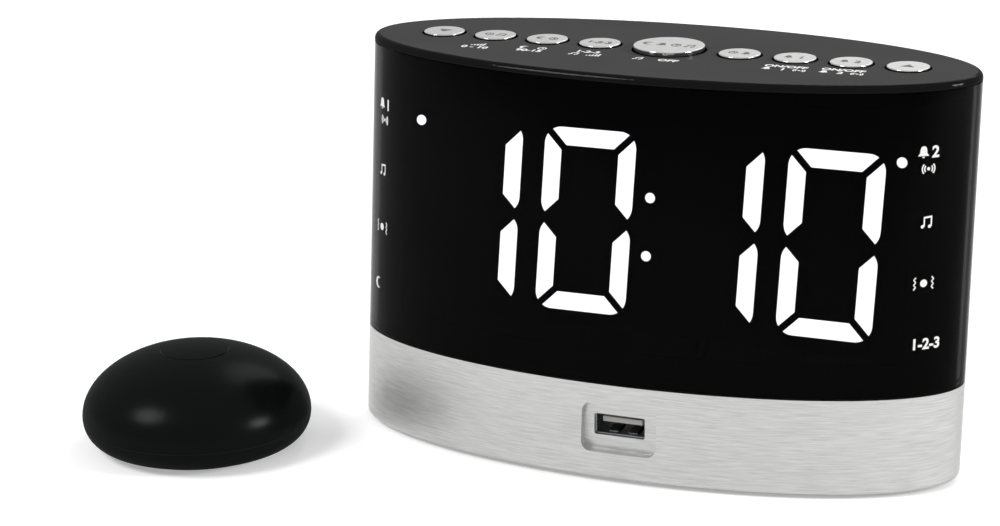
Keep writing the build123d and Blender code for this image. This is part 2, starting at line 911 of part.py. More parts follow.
def segment_outlines(middle):
    """Outlines of the seven segments of one digit, named a to g as usual."""
    half_width = digit_width / 2
    half_height = digit_height / 2
    inner_x = half_width - stroke
    inner_up = half_height - stroke
    cut = segment_gap / sqrt(2)
    waist = stroke / 2
    bar_tip = inner_x + waist_reach - 2 * cut
    bend_x = half_width - digit_corner_radius
    bend_up = half_height - digit_corner_radius
    mitre_deg = 45
    gap_deg = degrees(asin(segment_gap / 2 / digit_corner_radius))
    past_mitre = (inner_x + waist_reach - half_width) / sqrt(2)
    waist_deg = degrees(asin(past_mitre / digit_corner_radius)) - mitre_deg
    top_bend = bend(bend_x, bend_up, 90, mitre_deg + gap_deg)
    top = [
        [(inner_x - cut, inner_up)],
        [(cut - inner_x, inner_up)],
        [(-x, up) for x, up in reversed(top_bend)],
        top_bend,
    ]
    upper_right = [
        [(inner_x, waist_reach)],
        [(inner_x, inner_up - cut)],
        bend(bend_x, bend_up, mitre_deg - gap_deg, 0),
        bend(bend_x, digit_corner_radius, 0, waist_deg),
    ]
    bar = [
        [(bar_tip, 0)],
        [(bar_tip - waist, waist)],
        [(waist - bar_tip, waist)],
        [(-bar_tip, 0)],
        [(waist - bar_tip, -waist)],
        [(bar_tip - waist, -waist)],
    ]
    shapes = {
        "a": (top, 1, 1),
        "b": (upper_right, 1, 1),
        "c": (upper_right, 1, -1),
        "d": (top, 1, -1),
        "e": (upper_right, -1, -1),
        "f": (upper_right, -1, 1),
        "g": (bar, 1, 1),
    }
    outlines = {}
    for name, (runs, way, up_way) in shapes.items():
        outlines[name] = [[slanted(middle + way * x, up_way * up) for x, up in run] for run in runs]
    return outlines


def digit_middles():
    """Middles of the four digits from left to right."""
    offsets = (-outer_digit_spacing, -inner_digit_spacing, inner_digit_spacing, outer_digit_spacing)
    return [display_offset + offset for offset in offsets]


def segment_columns():
    """Columns behind the lit and the dark segments when the clock shows ten past ten."""
    lit_names = ("bc", "abcdef", "bc", "abcdef")
    lit = []
    dark = []
    for middle, names in zip(digit_middles(), lit_names):
        for name, runs in segment_outlines(middle).items():
            column = display_column(runs)
            (lit if name in names else dark).append(column)
    return lit, dark


def light_column(x, height):
    """Column behind one round light of the display."""
    place_x, place_height = slanted(display_offset + x, height - digit_middle)
    return rod(light_radius, -case_depth, case_depth, place_x, place_height)


def colon_columns():
    """Columns behind the two dots of the colon."""
    return [light_column(0, digit_middle + side * colon_half_spacing) for side in (1, -1)]


def indicator_columns():
    """Columns behind the small lamps at both ends of the display, the top pair first."""
    heights = [indicator_top - row * indicator_pitch for row in range(indicator_rows)]
    return [light_column(side * indicator_spacing, height) for height in heights for side in (-1, 1)]


def display_slab(front, back):
    """Leaning slab as large as the reflector."""
    return leaning_block(reflector_left, reflector_right, front, back, reflector_low, reflector_high)


def display_reflector(columns):
    """Black block with a light well behind each segment and lamp."""
    reflector = display_slab(display_front, reflector_back)
    wells = display_slab(display_front - overrun, display_front + segment_depth)
    for column in columns:
        reflector -= column & wells
    return reflector


def lenses(columns):
    """Milky fillings of the light wells."""
    slab = display_slab(display_front, display_front + segment_depth)
    return [column & slab for column in columns]


def display_board():
    """Circuit board behind the reflector."""
    board = leaning_block(
        display_board_left,
        display_board_right,
        reflector_back,
        web_front,
        display_board_low,
        display_board_high,
    )
    for x, height in display_screw_places():
        board -= rod(board_screw_radius + screw_way_gap, -case_depth, case_depth, x, height)
    return board


def key_board():
    """Circuit board under the buttons."""
    board = block(
        button_row_right - key_board_half_length,
        button_row_right + key_board_half_length,
        button_row - key_board_half_width,
        button_row + key_board_half_width,
        key_board_low,
        key_board_top,
    )
    for x, y in key_boss_places():
        board -= drum(board_screw_radius + screw_way_gap, key_board_low - overrun, case_top, x, y)
    return board


def key_switches():
    """Nine push switches under the buttons."""
    switches = []
    half = switch_size / 2
    body_top = key_board_top + switch_body_height
    for x, _, _ in button_places():
        body = block(x - half, x + half, button_row - half, button_row + half, key_board_top, body_top)
        body += drum(switch_plunger_radius, body_top, plunger_top, x, button_row)
        switches.append(body)
    return switches


def button(x, radius, stand):
    """Round button with a flange under the cover and a stem over its switch."""
    face = case_top + stand
    cap = drum(radius, flange_low, face, x, button_row)
    cap = fillet(cap.edges().group_by(Axis.Z)[-1], button_edge_radius)
    flange = drum(radius + button_flange_overlap, flange_low, flange_high, x, button_row)
    stem_low = plunger_top + button_travel + button_slack
    return cap + flange + drum(button_stem_radius, stem_low, flange_low, x, button_row)


def main_board():
    """Horizontal circuit board in the base, with a nose under the charging socket."""
    half = main_board_half_length
    board = block(-half, half, main_board_front, main_board_back, main_board_low, main_board_top)
    nose = main_board_nose_half_width
    left = usb_middle_x - nose
    right = usb_middle_x + nose
    board += block(left, right, main_board_nose, main_board_front, main_board_low, main_board_top)
    for x, y in main_screw_places:
        board -= drum(board_screw_radius + screw_way_gap, main_board_low - overrun, band_top, x, y)
    return board


def chips():
    """Chips on the main board and on the back of the display board."""
    pieces = []
    chip_top = main_board_top + chip_height
    for x, y, size in chip_places:
        half = size / 2
        pieces.append(block(x - half, x + half, y - half, y + half, main_board_top, chip_top))
    half_width = main_chip / 2
    half_height = small_chip / 2
    for middle in digit_middles()[::2]:
        low = digit_middle - half_height
        high = digit_middle + half_height
        back = web_front + chip_height
        pieces.append(leaning_block(middle - half_width, middle + half_width, web_front, back, low, high))
    return pieces


def capacitors():
    """Three upright capacitors on the main board."""
    pieces = []
    for x, y in capacitor_places:
        can = drum(capacitor_radius, main_board_top, main_board_top + capacitor_height, x, y)
        pieces.append(fillet(can.edges().group_by(Axis.Z)[-1], capacitor_edge_radius))
    return pieces


def usb_shell():
    """Folded metal shell of the charging socket."""
    front = pocket_floor + bezel_wall + usb_seat_gap
    back = front + usb_shell_length
    half = usb_shell_width / 2
    low = main_board_top
    high = low + usb_shell_height
    shell = block(usb_middle_x - half, usb_middle_x + half, front, back, low, high)
    inner = half - usb_shell_wall
    shell -= block(
        usb_middle_x - inner,
        usb_middle_x + inner,
        front - overrun,
        back - usb_shell_wall,
        low + usb_shell_wall,
        high - usb_shell_wall,
    )
    return shell


def usb_tongue():
    """Contact tongue of the charging socket on its moulded block."""
    front = pocket_floor + bezel_wall + usb_seat_gap
    back = front + usb_shell_length - usb_shell_wall
    low = main_board_top + usb_shell_wall
    high = low + usb_shell_height - 2 * usb_shell_wall
    half_block = usb_shell_width / 2 - usb_shell_wall
    tongue_high = high - usb_tongue_from_top
    half = usb_tongue_width / 2
    x = usb_middle_x
    rear = block(x - half_block, x + half_block, back - usb_block_length, back, low, high)
    tongue_low = tongue_high - usb_tongue_height
    return rear + block(x - half, x + half, front + usb_tongue_setback, back, tongue_low, tongue_high)


def dc_jack():
    """Round power inlet at the back of the base."""
    half = jack_width / 2
    axis = main_board_top + jack_axis_above_board
    top = main_board_top + jack_height
    jack = block(jack_x - half, jack_x + half, jack_back, jack_face, main_board_top, top)
    mouth = jack_face + jack_collar_reach
    bore_end = mouth - jack_bore_depth
    jack += rod(jack_collar_radius, jack_face, mouth, jack_x, axis)
    jack -= rod(jack_bore_radius, bore_end, mouth + overrun, jack_x, axis)
    return jack + rod(jack_pin_radius, bore_end, mouth - jack_pin_setback, jack_x, axis)


def spun(points):
    """Body turned round the speaker's axis from an outline of radius and depth."""
    face = Plane.XZ * make_face(Polyline(*points, close=True))
    body = revolve(face, Axis.Z)
    return Pos(0, speaker_face, speaker_height) * Rot(-90, 0, 0) * body


def terminal_low():
    """Lower end of the terminal strip, which hangs below the speaker's flange."""
    return speaker_height - speaker_flange_radius + terminal_seat - terminal_height


def speaker_frame():
    """Pressed basket of the speaker, and the terminal strip riveted behind its flange."""
    flange = speaker_flange_thickness
    basket = spun([
        (basket_mouth_radius, 0),
        (speaker_flange_radius, 0),
        (speaker_flange_radius, -flange),
        (basket_mouth_radius + basket_wall, -flange),
        (basket_neck_radius + basket_wall, -flange - basket_depth + basket_wall),
        (basket_neck_radius, -flange - basket_depth),
        (cone_neck_radius, -flange - basket_depth),
        (cone_neck_radius, -flange - basket_depth + basket_wall),
        (basket_neck_radius, -flange - basket_depth + basket_wall),
        (basket_mouth_radius, -flange),
    ])
    strip_back = speaker_face - flange
    low = terminal_low()
    strip = block(
        lead_header_x - terminal_width / 2,
        lead_header_x + terminal_width / 2,
        strip_back - terminal_thickness,
        strip_back,
        low,
        low + terminal_height,
    )
    return [basket, strip]


def speaker_cone():
    """Paper cone with its dust cap, in one with the soft surround."""
    mouth = -cone_gap
    neck = mouth - cone_depth
    return spun([
        (0, neck),
        (cone_neck_radius, neck),
        (cone_mouth_radius, mouth - cone_thickness),
        (cone_mouth_radius, mouth),
        (cone_neck_radius, neck + cone_thickness),
        (0, neck + cone_thickness + cone_cap_rise),
    ])


def speaker_magnet():
    """Ring magnet behind the basket."""
    top = speaker_face - speaker_flange_thickness - basket_depth
    magnet = rod(magnet_radius, top - magnet_height, top, 0, speaker_height)
    return magnet


def speaker_leads():
    """Two insulated leads from the speaker's terminals down to the main board."""
    leads = []
    for side in (-1, 1):
        x = lead_header_x + side * lead_spacing / 2
        low = (x, lead_header_y, main_board_top + header_height + lead_end_gap)
        strip_middle = speaker_face - speaker_flange_thickness - terminal_thickness / 2
        high = (x, strip_middle, terminal_low() - lead_end_gap)
        leads.append(rod_between(low, high, lead_radius))
    return leads


def ribbon_headers():
    """Plug housings at the ends of the ribbons and the speaker leads."""
    board_plug_high = main_board_top + header_height
    half_depth = header_depth / 2
    display_middle = web_front + half_depth
    housings = []
    for left, right, middle in (
        (key_ribbon_left, key_ribbon_right, key_ribbon_middle),
        (display_ribbon_left, display_ribbon_right, display_middle),
    ):
        front = middle - half_depth
        back = front + header_depth
        housings.append(leaning_block(left, right, front, back, main_board_top, board_plug_high))
    front = key_ribbon_middle - half_depth
    plug_low = key_board_low - header_height
    back = front + header_depth
    housings.append(leaning_block(key_ribbon_left, key_ribbon_right, front, back, plug_low, key_board_low))
    high = display_header_low + header_height
    left, right = display_ribbon_left, display_ribbon_right
    back = web_front + header_depth
    housings.append(leaning_block(left, right, web_front, back, display_header_low, high))
    left = lead_header_x - lead_header_width / 2
    right = lead_header_x + lead_header_width / 2
    front = lead_header_y - half_depth
    back = lead_header_y + half_depth
    housings.append(block(left, right, front, back, main_board_top, board_plug_high))
    return housings


def key_ribbon():
    """Flat cable from the button board down to the main board."""
    half = ribbon_thickness / 2
    left = key_ribbon_left + ribbon_side_margin
    right = key_ribbon_right - ribbon_side_margin
    front = key_ribbon_middle - half
    back = front + ribbon_thickness
    low = main_board_top + header_height
    return leaning_block(left, right, front, back, low, key_board_low - header_height)


def display_ribbon():
    """Flat cable from the display board down to the main board."""
    left = display_ribbon_left + ribbon_side_margin
    right = display_ribbon_right - ribbon_side_margin
    front = web_front + header_depth / 2 - ribbon_thickness / 2
    back = front + ribbon_thickness
    low = main_board_top + header_height
    return leaning_block(left, right, front, back, low, display_header_low)


def shaker_place():
    """Where the shaker stands on the table, and how it is turned."""
    return Pos(shaker_x, shaker_y, 0) * Rot(0, 0, shaker_turn_deg)


def shaker_form(inset):
    """Pebble shape of the shaker, moved inwards by an inset."""
    radius = shaker_radius - inset
    crown = shaker_height - shaker_waist - inset
    heel = shaker_waist - shaker_stand - inset
    waist = Plane((0, 0, shaker_waist), x_dir=(1, 0, 0), z_dir=(0, -1, 0))
    heel_middle = Plane((radius - shaker_heel_run, 0, shaker_waist), x_dir=(1, 0, 0), z_dir=(0, -1, 0))
    dome = Edge.make_ellipse(radius, crown, waist, start_angle=0, end_angle=90)
    under = Edge.make_ellipse(shaker_heel_run, heel, heel_middle, start_angle=270, end_angle=360)
    top = (0, 0, shaker_waist + crown)
    bottom = (0, 0, shaker_waist - heel)
    floor_edge = (radius - shaker_heel_run, 0, shaker_waist - heel)
    outline = Wire([under, dome, Edge.make_line(top, bottom), Edge.make_line(bottom, floor_edge)])
    return revolve(Face(outline), Axis.Z)


def lying_drum(radius, length, x):
    """Cylinder on the motor's axis, with its middle at a distance along it."""
    return Pos(x, motor_y, motor_level) * Rot(0, 90, 0) * Cylinder(radius, length)


def dome_height(distance, inset=0):
    """Height of the dome's surface at a distance from its middle."""
    radius = shaker_radius - inset
    crown = shaker_height - shaker_waist - inset
    return shaker_waist + crown * sqrt(1 - (distance / radius) ** 2)


def slice_between(low, high):
    """Slab wider than the shaker."""
    reach = shaker_diameter
    return block(-reach, reach, -reach, reach, low, high)


def charge_hole():
    """Opening round the shaker's charging socket, as the front, low and high it cuts."""
    half = charge_socket_width / 2 + charge_hole_gap
    low = charge_board_low + charge_board_thickness - charge_hole_gap
    high = low + charge_socket_height + 2 * charge_hole_gap
    return block(-half, half, charge_board_back - charge_socket_length / 2, shaker_diameter, low, high)


def shaker_upper_shell():
    """Domed upper shell with the button's hole, the light's hole and posts inside."""
    upper = slice_between(shaker_parting, shaker_height + overrun)
    shell = (shaker_form(0) - shaker_form(shaker_wall)) & upper
    edge = slice_between(shaker_parting, shaker_parting + shaker_parting_gap)
    shell -= (shaker_form(0) - shaker_form(shaker_parting_gap)) & edge
    inside = shaker_form(shaker_wall / 2)
    lip_top = shaker_parting + shaker_lip_height + running_gap
    clear_of_lip = shaker_form(shaker_wall + shaker_lip_wall + 2 * running_gap)
    for x, y in shaker_screw_places:
        shell += drum(shaker_screw_post_radius, lip_top, shaker_height, x, y) & inside
        post = drum(shaker_screw_post_radius, shaker_screw_seat + shaker_wall, lip_top, x, y)
        shell += post & clear_of_lip
    for side in (-1, 1):
        x = side * shaker_board_screw_x
        shell += drum(shaker_post_radius, shaker_board_top, shaker_height, x, shaker_board_screw_y) & inside
    for x, y in shaker_screw_places:
        pilot_low = shaker_screw_seat
        pilot_high = shaker_screw_seat + shaker_screw_length + screw_head_gap
        shell -= drum(board_screw_radius + screw_gap, pilot_low, pilot_high, x, y)
    for side in (-1, 1):
        x = side * shaker_board_screw_x
        low = shaker_board_top - shaker_board_thickness
        high = low + shaker_board_screw_length + running_gap
        shell -= drum(board_screw_radius + screw_gap, low, high, x, shaker_board_screw_y)
    x = saddle_places[0]
    clamp = block(
        x - saddle_thickness / 2,
        x + saddle_thickness / 2,
        motor_y - motor_radius * clamp_share,
        motor_y,
        motor_level + motor_radius * clamp_share,
        shaker_height,
    )
    motor_room = lying_drum(motor_radius + clamp_gap, shaker_diameter, x)
    board_room = drum(shaker_board_radius + running_gap, 0, shaker_board_top + running_gap)
    shell += (clamp & inside) - motor_room - board_room
    hole = shaker_button_radius + shaker_button_gap
    shell -= drum(hole, shaker_board_top, shaker_height + overrun)
    light_low = shaker_board_top
    light_high = shaker_height + overrun
    shell -= drum(light_pipe_radius + light_pipe_gap, light_low, light_high, 0, light_pipe_from_middle)
    return shell - charge_hole()


def shaker_lower_shell():
    """Shallow lower shell with a locating lip, motor saddles, battery ribs and board posts."""
    inside = shaker_form(shaker_wall / 2) & slice_between(0, shaker_parting)
    floor = shaker_stand + shaker_wall
    shell = (shaker_form(0) - shaker_form(shaker_wall)) & slice_between(0, shaker_parting)
    edge = slice_between(shaker_parting - shaker_parting_gap, shaker_parting)
    shell -= (shaker_form(0) - shaker_form(shaker_parting_gap)) & edge
    lip_inner = shaker_form(shaker_wall + running_gap + shaker_lip_wall)
    root = slice_between(shaker_parting - shaker_lip_root, shaker_parting)
    shell += (shaker_form(shaker_wall / 2) - lip_inner) & root
    lip = slice_between(shaker_parting, shaker_parting + shaker_lip_height)
    shell += (shaker_form(shaker_wall + running_gap) - lip_inner) & lip
    for x in saddle_places:
        saddle = block(
            x - saddle_thickness / 2,
            x + saddle_thickness / 2,
            motor_y - motor_radius,
            motor_y + motor_radius,
            shaker_stand + shaker_wall / 2,
            motor_level - motor_radius * saddle_drop_share,
        )
        shell += (saddle & inside) - lying_drum(motor_radius + saddle_gap, shaker_diameter, x)
    rib_top = floor + battery_rib_height
    rib_half_length = battery_half_length / 2
    rooted = floor - shaker_wall / 2
    for front in (battery_front - battery_gap - battery_rib, battery_back + battery_gap):
        shell += block(-rib_half_length, rib_half_length, front, front + battery_rib, rooted, rib_top)
    for side in (-1, 1):
        x = side * charge_post_half_spacing
        shell += drum(charge_post_radius, rooted, charge_board_low, x, charge_post_y)
    for x, y in shaker_screw_places:
        shell += drum(shaker_screw_post_radius, rooted, shaker_screw_seat + shaker_wall, x, y)
    for x, y in shaker_screw_places:
        shell -= drum(board_screw_head_radius + screw_head_gap, 0, shaker_screw_seat, x, y)
        shell -= drum(board_screw_radius + screw_way_gap, 0, shaker_height, x, y)
    shell -= drum(shaker_pad_radius + shaker_pad_gap, 0, shaker_stand + shaker_pad_recess)
    return shell - charge_hole()


def shaker_pad():
    """Soft non-slip pad under the shaker, with holes over the screws."""
    pad = drum(shaker_pad_radius, 0, shaker_stand + shaker_pad_recess)
    return fillet(pad.edges().group_by(Axis.Z)[0], shaker_pad_recess)


def shaker_button():
    """Round button in the middle of the dome, with a flange under the shell."""
    plunger_end = shaker_board_top + shaker_switch_body + shaker_switch_plunger
    low = plunger_end + shaker_button_travel + button_slack
    edge_radius = shaker_button_radius + shaker_button_flange_overlap
    flange_top = dome_height(edge_radius, shaker_wall) - running_gap
    face_radius = shaker_radius ** 2 / (shaker_height - shaker_waist)
    face = Pos(0, 0, shaker_height + shaker_button_rise - face_radius) * Sphere(face_radius)
    cap = drum(shaker_button_radius, low, shaker_height + overrun) & face
    flange_low_edge = flange_top - shaker_button_flange
    flange = drum(edge_radius, flange_low_edge, flange_top)
    stem = drum(button_stem_radius, 0, shaker_height)
    room = drum(shaker_board_radius, shaker_board_top, flange_low_edge) - stem
    return cap + flange - room


def shaker_board():
    """Round circuit board under the shaker's button."""
    low = shaker_board_top - shaker_board_thickness
    board = drum(shaker_board_radius, low, shaker_board_top)
    for side in (-1, 1):
        x = side * shaker_board_screw_x
        board -= drum(board_screw_radius + screw_way_gap, 0, shaker_height, x, shaker_board_screw_y)
    return board


def shaker_switch():
    """Flat push switch on the shaker's board."""
    half = shaker_switch_size / 2
    body_top = shaker_board_top + shaker_switch_body
    body = block(-half, half, -half, half, shaker_board_top, body_top)
    return body + drum(switch_plunger_radius, body_top, body_top + shaker_switch_plunger)


def shaker_light_pipe():
    """Clear rod that brings the lamp's light to the dome, behind the button."""
    y = light_pipe_from_middle
    pipe = drum(light_pipe_radius, shaker_board_top, shaker_height + overrun, 0, y)
    return pipe & shaker_form(shaker_parting_gap)


def shaker_motor():
    """Round vibration motor in its saddles, with a bearing boss and a bore for its shaft."""
    end = motor_left + motor_length
    can = lying_drum(motor_radius, motor_length, (motor_left + end) / 2)
    can = fillet(can.edges(), motor_edge_radius)
    can += lying_drum(motor_boss_radius, motor_boss_length, end + motor_boss_length / 2)
    bore_length = shaft_inside + shaft_gap + motor_boss_length
    bore_x = end + motor_boss_length - bore_length / 2
    return can - lying_drum(shaft_radius + shaft_gap, bore_length, bore_x)


def motor_shaft():
    """Steel shaft of the vibration motor."""
    length = shaft_inside + shaft_outside
    middle = motor_left + motor_length + motor_boss_length - shaft_inside + length / 2
    return lying_drum(shaft_radius, length, middle)


def eccentric_weight():
    """Half-round tungsten weight on the motor's shaft, hanging down at rest."""
    start = motor_left + motor_length + motor_boss_length + weight_stand_off
    middle = start + weight_length / 2
    lower_half = block(
        start - overrun,
        start + weight_length + overrun,
        motor_y - weight_radius,
        motor_y + weight_radius,
        motor_level - weight_radius,
        motor_level,
    )
    weight = lying_drum(weight_radius, weight_length, middle) & lower_half
    weight += lying_drum(weight_hub_radius, weight_length, middle)
    return weight - lying_drum(shaft_radius, weight_length + overrun, middle)


def shaker_battery():
    """Flat rechargeable cell on the floor of the shaker."""
    half = battery_half_length
    floor = shaker_stand + shaker_wall
    cell = block(-half, half, battery_front, battery_back, floor, floor + battery_height)
    return fillet(cell.edges().filter_by(Axis.Y), battery_edge_radius)


def charge_board():
    """Small board that carries the shaker's charging socket."""
    half = charge_board_half_width
    high = charge_board_low + charge_board_thickness
    board = block(-half, half, charge_board_front, charge_board_back, charge_board_low, high)
    return board


def charge_socket():
    """Small charging socket at the back of the shaker."""
    low = charge_board_low + charge_board_thickness
    high = low + charge_socket_height
    half = charge_socket_width / 2
    back = charge_board_back + charge_socket_reach
    front = back - charge_socket_length
    wall = charge_socket_wall
    socket = block(-half, half, front, back, low, high)
    socket -= block(-half + wall, half - wall, front + wall, back + overrun, low + wall, high - wall)
    middle = (low + high) / 2
    tongue_half = charge_tongue_width / 2
    tongue_low = middle - charge_tongue_height / 2
    tongue_high = middle + charge_tongue_height / 2
    tongue_end = back - charge_tongue_setback
    return socket + block(-tongue_half, tongue_half, front, tongue_end, tongue_low, tongue_high)


def shaker_screws():
    """Three screws through the lower shell and two that hold the shaker's board."""
    screws = []
    for x, y in shaker_screw_places:
        head_low = shaker_stand + shaker_pad_recess
        head_height = shaker_screw_seat - head_low - running_gap
        body = screw(board_screw_radius, shaker_screw_length, board_screw_head_radius, head_height)
        screws.append(Pos(x, y, shaker_screw_seat) * Rot(180, 0, 0) * body)
    for side in (-1, 1):
        x = side * shaker_board_screw_x
        low = shaker_board_top - shaker_board_thickness
        body = board_screw(shaker_board_screw_length)
        screws.append(Pos(x, shaker_board_screw_y, low) * Rot(180, 0, 0) * body)
    return screws


def solids_of(shape):
    """Every solid in a shape or in a list of shapes."""
    shapes = shape if isinstance(shape, list) else [shape]
    return [solid for item in shapes for solid in item.solids()]


def button_names():
    """Names of the nine buttons, in the order of their places."""
    return [
        "down_button",
        "radio_button",
        "sleep_button",
        "memory_button",
        "snooze_button",
        "alarm_one_button",
        "alarm_two_button",
        "shaker_key_button",
        "up_button",
    ]


def clock_nodes():
    """Pieces of the clock by name."""
    lit, dark = segment_columns()
    colon = colon_columns()
    lamps = indicator_columns()
    nodes = {
        "top_cover": top_cover(),
        "front_window": front_window(),
        "front_frame": front_frame(),
        "rear_cabinet": rear_cabinet(),
        "base_band": base_band(),
        "usb_bezel": usb_bezel(),
        "base_plate": base_plate(),
        "rubber_feet": rubber_feet(),
        "battery_door": battery_door(),
        "battery_door_screw": battery_door_screw(),
        "backup_cell": backup_cell(),
        "cell_contact": cell_contact(),
        "case_screws": case_screws(),
        "board_screws": board_screws(),
        "display_reflector": display_reflector(lit + dark + colon + lamps),
        "lit_segments": lenses(lit),
        "dark_segments": lenses(dark),
        "colon_lights": lenses(colon),
        "lit_indicators": lenses(lamps[:2]),
        "dark_indicators": lenses(lamps[2:]),
        "display_board": display_board(),
        "key_board": key_board(),
        "key_switches": key_switches(),
        "main_board": main_board(),
        "chips": chips(),
        "capacitors": capacitors(),
        "usb_shell": usb_shell(),
        "usb_tongue": usb_tongue(),
        "dc_jack": dc_jack(),
        "speaker_frame": speaker_frame(),
        "speaker_cone": speaker_cone(),
        "speaker_magnet": speaker_magnet(),
        "speaker_leads": speaker_leads(),
        "ribbon_headers": ribbon_headers(),
        "key_ribbon": key_ribbon(),
        "display_ribbon": display_ribbon(),
    }
    for name, place in zip(button_names(), button_places()):
        nodes[name] = button(*place)
    return nodes


def shaker_nodes():
    """Pieces of the bed shaker by name, standing where it stands on the table."""
    pieces = {
        "shaker_upper_shell": shaker_upper_shell(),
        "shaker_lower_shell": shaker_lower_shell(),
        "shaker_pad": shaker_pad(),
        "shaker_button": shaker_button(),
        "shaker_board": shaker_board(),
        "shaker_switch": shaker_switch(),
        "shaker_light_pipe": shaker_light_pipe(),
        "shaker_motor": shaker_motor(),
        "motor_shaft": motor_shaft(),
        "eccentric_weight": eccentric_weight(),
        "shaker_battery": shaker_battery(),
        "charge_board": charge_board(),
        "charge_socket": charge_socket(),
        "shaker_screws": shaker_screws(),
    }
    place = shaker_place()
    return {name: [place * solid for solid in solids_of(piece)] for name, piece in pieces.items()}


def main():
    """Write one file for each piece or group of like pieces."""
    os.makedirs("parts", exist_ok=True)
    to_origin = Pos(-(whole_left + whole_right) / 2, -(whole_front + whole_back) / 2, 0)
    for name, piece in {**clock_nodes(), **shaker_nodes()}.items():
        solids = [to_origin * solid for solid in solids_of(piece)]
        whole = solids[0] if len(solids) == 1 else Compound(children=solids)
        whole.label = name
        export_step(whole, os.path.join("parts", name + ".step"))


main()
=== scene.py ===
"""Looks of a bedside alarm clock and its round bed shaker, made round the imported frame.

Everything is in metres, in the frame's own place. The front of the clock faces -Y.
"""

import json
from math import asin, cos, pi, radians, sin, sqrt

import bmesh
import bpy
from mathutils import Matrix, Vector


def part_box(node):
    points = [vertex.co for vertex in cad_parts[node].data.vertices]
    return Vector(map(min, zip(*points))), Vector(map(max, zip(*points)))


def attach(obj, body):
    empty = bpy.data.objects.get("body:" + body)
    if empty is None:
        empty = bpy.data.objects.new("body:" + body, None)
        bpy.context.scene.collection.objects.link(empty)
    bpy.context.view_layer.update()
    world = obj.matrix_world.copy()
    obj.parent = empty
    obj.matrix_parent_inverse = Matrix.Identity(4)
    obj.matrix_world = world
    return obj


bl_info = {
    "name": "Alarm clock with bed shaker",
    "version": (1, 0, 0),
    "blender": (4, 5, 0),
    "location": "3D View > Sidebar > Alarm clock",
    "description": "Dresses the frame of a bedside alarm clock and its round bed shaker",
    "category": "Object",
}

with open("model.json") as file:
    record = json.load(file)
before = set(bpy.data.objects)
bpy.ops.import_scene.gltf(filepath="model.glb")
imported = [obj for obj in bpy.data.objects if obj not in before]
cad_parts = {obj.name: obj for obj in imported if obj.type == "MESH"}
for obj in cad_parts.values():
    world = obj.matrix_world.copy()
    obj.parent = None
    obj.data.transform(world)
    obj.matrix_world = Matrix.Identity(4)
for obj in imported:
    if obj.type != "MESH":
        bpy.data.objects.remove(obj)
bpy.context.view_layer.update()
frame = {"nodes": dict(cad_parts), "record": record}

MM = 0.001
band_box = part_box("base_band")
window_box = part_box("front_window")
lid_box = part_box("top_cover")
feet_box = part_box("rubber_feet")
usb_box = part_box("usb_shell")
CLOCK_MIDDLE = Vector(((feet_box[0].x + feet_box[1].x) / 2, (feet_box[0].y + feet_box[1].y) / 2, 0))
CASE_HALF_WIDTH = (band_box[1].x - band_box[0].x) / 2
CASE_HALF_DEPTH = (lid_box[1].y - lid_box[0].y) / 2
CASE_LEAN = (lid_box[1].y - CASE_HALF_DEPTH - CLOCK_MIDDLE.y) / (window_box[1].z - band_box[0].z)


def linear(hex_colour):
    """Linear colour with alpha 1 from an sRGB hex value."""
    channels = [int(hex_colour[i:i + 2], 16) / 255 for i in (1, 3, 5)]
    return tuple(c / 12.92 if c <= 0.04045 else ((c + 0.055) / 1.055) ** 2.4 for c in channels) + (1.0,)


def colour_choice(name, description, hex_colour):
    """Colour property with an sRGB default."""
    return bpy.props.FloatVectorProperty(
        name=name, description=description, subtype="COLOR", size=4, min=0, max=1, default=linear(hex_colour)
    )


def length_choice(name, description, millimetres):
    """Length property with a default in millimetres."""
    return bpy.props.FloatProperty(
        name=name, description=description, subtype="DISTANCE", unit="LENGTH", default=millimetres * MM
    )


class ClockColours(bpy.types.PropertyGroup):
    """Colours of the clock's and the shaker's finishes."""

    lid: colour_choice("Lid", "Satin plastic of the lid", "#434344")
    # The gloss black also stands as painted shade on the lid's rim.
    gloss_black_and_rim_shade: colour_choice("Gloss black", "Polished rim and rear cabinet", "#0b0b0c")
    smoke: colour_choice("Window smoke", "Tint of the window", "#303031")
    band: colour_choice("Band", "Silver lacquer of the band", "#c0c0bf")
    button: colour_choice("Buttons", "Satin plating of the buttons", "#aeaead")
    figures: colour_choice("Figures", "Light of the figures", "#fafbff")
    ink: colour_choice("White ink", "Marks on the window and the lid", "#e6e6e4")
    button_ink: colour_choice("Grey ink", "Marks on the buttons", "#353537")
    shaker: colour_choice("Shaker", "Satin plastic of the shaker", "#080a0a")


class ClockSizes(bpy.types.PropertyGroup):
    """Sizes that a user would change."""

    window_mark: length_choice("Window mark height", "Height of a mark on the window", 2.9)
    lid_mark: length_choice("Lid mark height", "Height of a line of marks on the lid", 2.35)
    button_mark: length_choice("Button mark height", "Height of a mark on a button", 2.4)
    ink: length_choice("Ink thickness", "How far a printed mark stands up", 0.03)
    stroke: length_choice("Stroke", "Width of the lines of a mark", 0.42)
    spring_rise: length_choice("Spring rise", "How far the socket's springs stand up", 0.55)
    floor: length_choice("Floor", "Half the width of the floor", 6000)


DRIFT_MM = 22
GLOSS_SPOT_MM = 6
# Noise keeps mostly between these values, so a pattern is spread from there.
MIDDLE = {"From Min": 0.3, "From Max": 0.7}


def add(tree, kind, inputs=None, **settings):
    """Adds a node, gives it its settings, and links or sets its inputs."""
    node = tree.nodes.new(kind)
    for name, value in settings.items():
        setattr(node, name, value)
    for name, value in (inputs or {}).items():
        if isinstance(value, bpy.types.NodeSocket):
            tree.links.new(value, node.inputs[name])
        else:
            node.inputs[name].default_value = value
    return node


